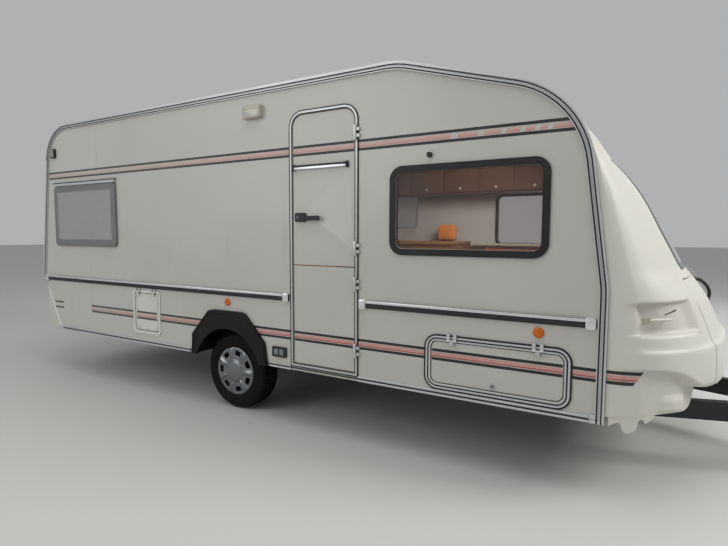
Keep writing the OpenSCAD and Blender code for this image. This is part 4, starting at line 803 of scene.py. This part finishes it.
addNoseBits(panelTree, noseTree("gas_lid"))
print("stage: nose smoothed and fitted")

# Windows: hung acrylic panes with a dark border, rubber-set glass, one pane on the rear wall
panes = dict(
    hung=[(-1.852, 1.560, 0.985, 0.580, (-1, 1)), (0.230, 1.640, 0.900, 0.470, (1,))], border=0.062,
    thick=0.0215, corner=0.040, frontEdge=0.006, standOff=0.0003, rear=(0.660, 1.250, 1.930), rearSlope=0.12727,
    glass=(1.890, 1.5365, 0.950, 0.543), seal=0.036, sealTop=0.085, glassY=(-0.011, -0.005),
    stripY=(-0.004, 0.0045), strip=0.005, nearly=0.9, cornerSteps=5)


def addPane(bm, corners, place):
    # a closed pane: front and back centres clear, the rim and sides dark
    part, thick = bmesh.new(), panes["thick"]
    part.faces.new([part.verts.new(Vector((x, 0, z))) for x, z in corners])
    pullOut(part, part.faces[:], (0, -thick, 0))
    bmesh.ops.recalc_face_normals(part, faces=part.faces[:])
    flats = [f for f in part.faces if abs(f.normal.y) > panes["nearly"]]
    for face in part.faces:
        face.material_index = 1
    for face in flats:
        bmesh.ops.inset_region(part, faces=[face], thickness=panes["border"], use_even_offset=True)
        face.material_index = 0
    deep = thick * panes["nearly"]
    posts = [e for e in part.edges if abs((e.verts[0].co - e.verts[1].co).y) > deep]
    roundOff(part, posts, panes["corner"], panes["cornerSteps"])
    front = [e for e in part.edges if e.calc_face_angle(0) > hardTurn and all(v.co.y < -deep for v in e.verts)]
    roundOff(part, front, panes["frontEdge"], 3)
    bmesh.ops.transform(part, matrix=place, verts=part.verts[:])
    mergeInto(bm, part)


def hangPanes():
    bm, off = bmesh.new(), panes["standOff"]
    for x, z, wide, high, where in panes["hung"]:
        for side in where:
            place = Matrix.Translation(spot(x, side * (wallY + off), z))
            if side > 0:
                place = place @ Matrix.Rotation(math.pi, 4, "Z")
            addPane(bm, box4(-wide / 2, -high / 2, wide / 2, high / 2), place)
    half, z0, z1 = panes["rear"]
    (lowX, lowZ), (highX, highZ) = (corner[:2] for corner in rails["outline"][:2])
    foot = lowX + (z0 - lowZ) * (highX - lowX) / (highZ - lowZ)
    place = (Matrix.Translation(spot(foot - off, 0, z0)) @ Matrix.Rotation(panes["rearSlope"], 4, "Y")
             @ Matrix.Rotation(-math.pi / 2, 4, "Z"))
    addPane(bm, box4(-half, 0, half, z1 - z0), place)
    newPiece("hungPanes", bm, "smokedPane", hides=("window_panes",), also=("frostBorder",))


def setGlass():
    glass, strip = bmesh.new(), bmesh.new()
    x, z, wide, high = panes["glass"]
    radius = panes["sealTop"] - panes["seal"]
    corners = grown4((x - wide / 2, z - high / 2, x + wide / 2, z + high / 2), -panes["seal"])
    for side in bothSides:
        addPlate(glass, corners, *panes["glassY"], radius, side=side)
        addPlate(strip, corners, *panes["stripY"], radius, ring=panes["strip"], side=side)
    newPiece("dinetteGlass", glass, "windowGlass")
    newPiece("sealStrip", strip, "aluminium")


hangPanes()
setGlass()
dressNode("window_seals", "blackRubber", "seal")
print("stage: windows glazed")

# Wheels: spun tyres with grooves and shoulder slots, seven-spoke trims
wheels = dict(
    centre=0.305, track=0.992, steps=140, tread=0.0065,
    carcass=[(0.186, -0.070), (0.192, -0.080), (0.205, -0.086), (0.235, -0.0925), (0.262, -0.0915),
             (0.280, -0.0865), (0.290, -0.0815), (0.2975, -0.0735), (0.3010, -0.0660)],
    blocks=[(0.3025, -0.0600), (0.3030, -0.0450), (0.2965, -0.0440), (0.2965, -0.0360), (0.3040, -0.0350),
            (0.3045, -0.0090), (0.2970, -0.0080), (0.2970, 0.0000)],
    trim=[(0.000, 0.0260), (0.030, 0.0254), (0.060, 0.0232), (0.080, 0.0200), (0.085, 0.0140),
          (0.090, 0.0095), (0.104, 0.0095), (0.128, 0.0085), (0.148, 0.0070), (0.166, 0.0055),
          (0.175, 0.0050), (0.185, 0.0075), (0.191, 0.0040), (0.191, -0.0035)],
    shoulder=(0.2985, 0.045, 4), crown=(0.303, 0.034, 7), rings=((0.246, 0.0932), (0.224, 0.0908)),
    ringRound=0.0012, ringSteps=80, faceOut=0.0858, spokes=7, perSpoke=12, spokeLift=0.0160, spokeHalf=0.13,
    spokeFull=0.6, spokeBand=(0.092, 0.182), windows=(0.129, 0.168), windowShare=(0.27, 0.73), wall=0.003)


def polar(point):
    return math.hypot(point.x, point.z), math.atan2(point.z, point.x) / (2 * math.pi) % 1


def isSlot(point):
    # a tread slot: every fourth step on the shoulders, every seventh on the crown
    radius, share = polar(point)
    turn = int(share * wheels["steps"])
    (edgeR, edgeY, edgeEach), (midR, midY, midEach) = wheels["shoulder"], wheels["crown"]
    shoulder = radius > edgeR and abs(point.y) > edgeY and turn % edgeEach == 0
    return shoulder or radius > midR and abs(point.y) < midY and turn % midEach == 0


def makeTyre(side, label):
    half = wheels["carcass"] + wheels["blocks"]
    profile = half + [(r, -h) for r, h in reversed(half[:-1])] + half[:1]
    centre = spot(0, side * wheels["track"], wheels["centre"])
    bm = bmesh.new()
    addSpun(bm, profile, centre, (0, 1, 0), wheels["steps"])
    slots = [face for face in bm.faces if isSlot(face.calc_center_median() - centre)]
    for face in bmesh.ops.extrude_discrete_faces(bm, faces=slots)["faces"]:
        bmesh.ops.translate(bm, vec=face.normal * -wheels["tread"], verts=face.verts[:])
    turns = [t * 2 * math.pi / wheels["ringSteps"] for t in range(wheels["ringSteps"])]
    for radius, lift in wheels["rings"]:   # moulded rings on the sidewalls
        for way in bothSides:
            ring = [centre + Vector((math.cos(t) * radius, way * lift, math.sin(t) * radius)) for t in turns]
            addTube(bm, ring, wheels["ringRound"], 1, True)
    hidden = ("tyre_" + label.lower(),)
    newPiece("tyre" + label, bm, "tyreRubber", "wheel_" + label.lower() + "_body", hidden, smooth=30)


def makeTrim(side, label):
    centre = spot(0, side * (wheels["track"] + wheels["faceOut"]), wheels["centre"])
    bm = bmesh.new()
    addSpun(bm, wheels["trim"], centre, (0, side, 0), wheels["spokes"] * wheels["perSpoke"])
    (low, high), (first, last) = wheels["windows"], wheels["windowShare"]
    gone = []
    for face in bm.faces:
        radius, share = polar(face.calc_center_median() - centre)
        if low < radius < high and first < share * wheels["spokes"] % 1 < last:
            gone.append(face)
    bmesh.ops.delete(bm, geom=gone, context="FACES")
    (low, high), half = wheels["spokeBand"], wheels["spokeHalf"]
    for vert in bm.verts:
        radius, share = polar(vert.co - centre)
        share = share * wheels["spokes"] % 1
        off = min(share, 1 - share)
        if low < radius < high and off < half:
            vert.co.y += side * wheels["spokeLift"] * (1 - off / half) ** wheels["spokeFull"]
    hidden = ("trim_" + label.lower(),)
    piece = newPiece("trim" + label, bm, "trimSilver", "wheel_" + label.lower() + "_body", hidden, smooth=50)
    wall = piece.modifiers.new("wall", "SOLIDIFY")
    wall.thickness, wall.offset = wheels["wall"], -1
    soft = piece.modifiers.new("soften", "SUBSURF")
    soft.levels = soft.render_levels = 1


for side, label in sides:
    makeTyre(side, label)
    makeTrim(side, label)
print("stage: wheels made")

# Wheel spats: halves of the CAD copy with a raised lip along the arch outline
spats = dict(
    outline=[(-0.396, 0.419), (-0.385, 0.585), (-0.197, 0.786), (-0.136, 0.798), (0.158, 0.798),
             (0.197, 0.786), (0.384, 0.585), (0.408, 0.419)], round=0.030, roundSteps=6,
    lip=(0.010, 0.013, 0.019, 0.022), rise=0.004, sunk=0.001, edge=0.003, edgeTurn=35)


def dressSpat(side, label):
    bm = copyNode("wheel_spats")
    far = [v for v in bm.verts if v.co.y * side < 0]
    bmesh.ops.delete(bm, geom=far, context="VERTS")
    face = max(abs(v.co.y) for v in bm.verts)
    low, high = face - spats["sunk"], face + spats["rise"]
    profile = list(zip(spats["lip"], (low, high, high, low)))
    addSwept(bm, [(x, z, spats["round"]) for x, z in spats["outline"]], profile, side, spats["roundSteps"])
    hidden = ("wheel_spats",) if side < 0 else ()
    piece = newPiece("wheelSpat" + label, bm, "spatPlastic", root, hidden, smooth=30)
    soft = piece.modifiers.new("softEdges", "BEVEL")
    soft.width, soft.segments, soft.limit_method = spats["edge"], 2, "ANGLE"
    soft.angle_limit = math.radians(spats["edgeTurn"])


for side, label in sides:
    dressSpat(side, label)
print("stage: spats dressed")

# Lamps and small fittings
lamps = dict(
    markers=[0.005, 2.325], markerZ=0.866, markerRadius=0.034, markerOff=0.0002, markerSteps=40,
    lens=[(0, 0.0138), (0.3, 0.0136), (0.55, 0.0125), (0.58, 0.0112), (0.62, 0.0122), (0.8, 0.0105),
          (0.9, 0.0070), (0.92, 0.002), (0, 0.002)],
    rim=[(0.86, 0.0), (0.86, 0.0035), (0.95, 0.0045), (1, 0.0030), (1, 0.0), (0.86, 0.0)],
    plates=dict(
        roofLampHousings=("lampBeige", [
            ((0.0002, 0.0395, 0.014, 0.008), [(0.217, 2.2205, 0.3835, 2.3155)])], root, (-1,), ("roof_lamps",)),
        roofLampLenses=("clearLens", [((0.036, 0.0425, 0.010, 0.004), [(0.227, 2.2265, 0.3735, 2.2785)])]),
        cornerLampBases=("blackPlastic", [
            ((0.0002, 0.0240, 0.010, 0.003), [(-2.392, 2.132, -2.310, 2.222)])], root, bothSides),
        cornerLampCovers=("lampGrey", [
            ((0.020, 0.0310, 0.010, 0.005), [(-2.388, 2.138, -2.314, 2.220)])], root, bothSides),
        socketFlaps=("zincSteel", [
            ((0.0155, 0.0185, 0.004, 0.0015), [(x, 0.516, x + 0.036, 0.558) for x in (0.478, 0.528)])]),
        ventBlades=("whitePlastic", [
            ((0.0135, 0.0195, 0.0, 0.002), [(-0.055, 1.100 + k * 0.021, 0.305, 1.112 + k * 0.021)
                                            for k in range(7)])], root, (1,))),
    tail=(-2.669, -2.6552, 0.760, 1.010, 0.640, 0.780), tailBack=(0.006, 0.003), tailFace=(0.009, 0.006, 0.004),
    tailCuts=dict(redLens=(0.02, 0.42), orangeLens=(0.44, 0.70), clearLens=(0.72, 0.98)))


def addMarkers():
    lens, rim = bmesh.new(), bmesh.new()
    for side in bothSides:
        for x in lamps["markers"]:
            centre = spot(x, side * (wallY + lamps["markerOff"]), lamps["markerZ"])
            for bm, form in ((lens, "lens"), (rim, "rim")):
                profile = [(lamps["markerRadius"] * share, h) for share, h in lamps[form]]
                addSpun(bm, profile, centre, (0, side, 0), lamps["markerSteps"])
    newPiece("markerLenses", lens, "orangeLens", hides=("side_markers",))
    newPiece("markerRims", rim, "whitePlastic")


def addTailLamps():
    x0, x1, y0, y1, z0, z1 = lamps["tail"]
    (back, backEdge), (deep, inset, edge) = lamps["tailBack"], lamps["tailFace"]
    base = bmesh.new()
    parts = {finish: bmesh.new() for finish in lamps["tailCuts"]}
    for side in bothSides:
        lowY, highY = sorted((side * y0, side * y1))
        addBlock(base, (x0 + back, lowY, z0), (x1, highY, z1), backEdge)
        for finish, cut in lamps["tailCuts"].items():
            lowA, highA = sorted(side * (y1 - (y1 - y0) * share) for share in cut)
            addBlock(parts[finish], (x0, lowA, z0 + inset), (x0 + deep, highA, z1 - inset), edge, 3)
    newPiece("tailLampBase", base, "blackPlastic", hides=("rear_lamps",))
    for finish, bm in parts.items():
        newPiece("tailLamp-" + finish, bm, finish)


addMarkers()
for name, row in lamps["plates"].items():
    addPlates(name, *row)
addTailLamps()
dressNode("side_fittings", "blackPlastic", "fitting", [("whitePlastic", lambda x, y, z: y > 0)])
print("stage: lamps and fittings made")

# Inside: brown overhead lockers on the far wall, table, seats and padded cushions
inside = dict(
    lockers=(0.280, 2.400, 0.820, 1.1195, 1.790, 2.080), lockerEdge=0.004, doors=6, doorGap=(0.012, 0.015),
    doorThick=0.017, doorEdge=0.006, behindDoor=0.018, knobRise=0.05, knobSteps=20,
    knob=[(0, 0.018), (0.010, 0.017), (0.013, 0.012), (0.007, 0.006), (0.006, 0.0), (0, 0.0)],
    ledge=(1.195, 2.560, 1.040, 1.1195, 1.275, 1.302), ledgeEdge=0.008,
    loose=((0.858, 0.930, 1.3205), (1.076, 1.050, 1.500)), swell=0.010, cap=0.014, voxel=0.018,
    padEdge=0.025, pressure=4.0, frames=20)


def addOverheads():
    x0, x1, y0, y1, z0, z1 = inside["lockers"]
    wood, knobs, ledges = bmesh.new(), bmesh.new(), bmesh.new()
    addBlock(wood, (x0, y0 + inside["behindDoor"], z0), (x1, y1, z1), inside["lockerEdge"])
    step = (x1 - x0) / inside["doors"]
    gapX, gapZ = inside["doorGap"]
    for k in range(inside["doors"]):
        a, b = x0 + k * step + gapX, x0 + (k + 1) * step - gapX
        addBlock(wood, (a, y0, z0 + gapZ), (b, y0 + inside["doorThick"], z1 - gapZ), inside["doorEdge"], 3)
        centre = spot((a + b) / 2, y0, z0 + inside["knobRise"])
        addSpun(knobs, inside["knob"], centre, (0, -1, 0), inside["knobSteps"])
    x0, x1, y0, y1, z0, z1 = inside["ledge"]
    for side in bothSides:
        lowY, highY = sorted((side * y0, side * y1))
        addBlock(ledges, (x0, lowY, z0), (x1, highY, z1), inside["ledgeEdge"], 3)
    newPiece("sillLedges", ledges, "lampBeige")
    newPiece("overheadLockers", wood, "darkWood")
    newPiece("overheadKnobs", knobs, "brightMetal")


def padCushion(index, low, high, finish="seatCloth"):
    bm = bmesh.new()
    bmesh.ops.create_cube(bm, size=1.0)
    bmesh.ops.scale(bm, vec=high - low - Vector((2, 2, 2)) * inside["swell"], verts=bm.verts[:])
    bmesh.ops.translate(bm, vec=(low + high) / 2, verts=bm.verts[:])
    roundOff(bm, bm.edges[:], inside["padEdge"], 3)
    piece = newPiece("cushion" + str(index), bm, finish, hides=("cushions",) if index == 0 else (), smooth=60)
    remesh = piece.modifiers.new("grid", "REMESH")
    remesh.mode, remesh.voxel_size, remesh.use_smooth_shade = "VOXEL", inside["voxel"], True
    bake(piece)
    start = [v.co.copy() for v in piece.data.vertices]
    cloth = piece.modifiers.new("stuffing", "CLOTH")
    cloth.settings.use_pressure, cloth.settings.uniform_pressure_force = True, inside["pressure"]
    cloth.settings.effector_weights.gravity = 0
    for step in range(1, inside["frames"] + 1):
        scene.frame_set(step)
    bake(piece)
    scene.frame_set(1)
    for vert, rest in zip(piece.data.vertices, start):
        move = vert.co - rest
        if move.length > inside["cap"]:
            vert.co = rest + move.normalized() * inside["cap"]
        vert.co.z = max(vert.co.z, low.z)
    soft = piece.modifiers.new("soften", "SUBSURF")
    soft.levels = soft.render_levels = 1


def bake(piece):
    shaped = bpy.data.meshes.new_from_object(piece.evaluated_get(bpy.context.evaluated_depsgraph_get()))
    old = piece.data
    piece.modifiers.clear()
    piece.data = shaped
    bpy.data.meshes.remove(old)


def padCushions():
    bm = copyNode("cushions")
    boxes = []
    left = set(bm.verts)
    while left:
        group, queue = set(), [left.pop()]
        while queue:
            vert = queue.pop()
            group.add(vert)
            near = [e.other_vert(vert) for e in vert.link_edges]
            queue += [v for v in near if v in left]
            left -= set(near)
        boxes.append([Vector([pick(v.co[k] for v in group) for k in range(3)]) for pick in (min, max)])
    bm.free()
    for index, (low, high) in enumerate(sorted(boxes, key=lambda pair: tuple(pair[0]))):
        padCushion(index, low, high)
    padCushion(len(boxes), spot(*inside["loose"][0]), spot(*inside["loose"][1]), "orangeCloth")
    print("stage: cushions padded,", len(boxes))


addOverheads()
padCushions()
for node in ("seat_bases", "dinette_table", "kitchen_unit", "wardrobe"):
    dressNode(node, "cabinetWood", "wood")

# Under the floor, on the drawbar, on the roof and at the rear: rounded copies
for node in ("cross_members", "drawbar_arms", "coupling", "handbrake"):
    dressNode(node, "chassisPaint", "chassis")
for node in ("jockey_post", "jockey_fork", "steady_brackets", "steady_front_right", "steady_front_left",
             "steady_rear_right", "steady_rear_left"):
    dressNode(node, "zincSteel", "steel")
for node in ("roof_hatches", "grab_handles"):
    dressNode(node, "whitePlastic", "plastic")
dressNode("rear_moulding", "rearGel", "rear")
print("stage: running gear dressed")

# Plain pale floor, soft lamps and an even sky
studio = dict(
    floor="c2c1be", floorRough=0.9, floorSize=60, skyTint=(0.93, 0.95, 0.97, 1), sky=0.46, aim=(0.2, 0, 1.1),
    lamps=dict(key=(560, (9.0, 1.8, 6.4), 3.5), fill=(165, (-4.5, -7.5, 4.2), 5.0),
               back=(110, (0.5, 7.0, 5.0), 6.0), top=(200, (1.5, -2.0, 7.5), 6.0),
               cabin=(24, (0.9, -0.1, 2.12), 0.7)), unseen=("cabin", "back"))


def addLamp(name, watts, place, size):
    data = bpy.data.lights.new(name + "Lamp", "AREA")
    data.energy, data.size = watts, size
    lamp = bpy.data.objects.new(name + "Lamp", data)
    scene.collection.objects.link(lamp)
    lamp.location = place
    lamp.rotation_euler = (Vector(studio["aim"]) - Vector(place)).to_track_quat("-Z", "Y").to_euler()
    lamp.visible_camera = False
    lamp.visible_transmission = lamp.visible_glossy = name not in studio["unseen"]


def addStudio(values):
    scene.view_settings.view_transform = "Standard"
    world = bpy.data.worlds.new("studioSky")
    scene.world = world
    world.use_nodes = True
    sky = world.node_tree.nodes["Background"]
    sky.inputs["Color"].default_value = values["skyTint"]
    sky.inputs["Strength"].default_value = values["sky"]
    for name, row in values["lamps"].items():
        addLamp(name, *row)
    bm = bmesh.new()
    bmesh.ops.create_grid(bm, x_segments=1, y_segments=1, size=values["floorSize"])
    mesh = bpy.data.meshes.new("studioFloor")
    bm.to_mesh(mesh)
    bm.free()
    floor = bpy.data.objects.new("studioFloor", mesh)
    scene.collection.objects.link(floor)
    mat = bpy.data.materials.new("paleFloor")
    mat.use_nodes = True
    shader = mat.node_tree.nodes["Principled BSDF"]
    shader.inputs["Base Color"].default_value = rgb(values["floor"])
    shader.inputs["Roughness"].default_value = values["floorRough"]
    mesh.materials.append(mat)


addStudio(studio)
print("stage: studio lit")
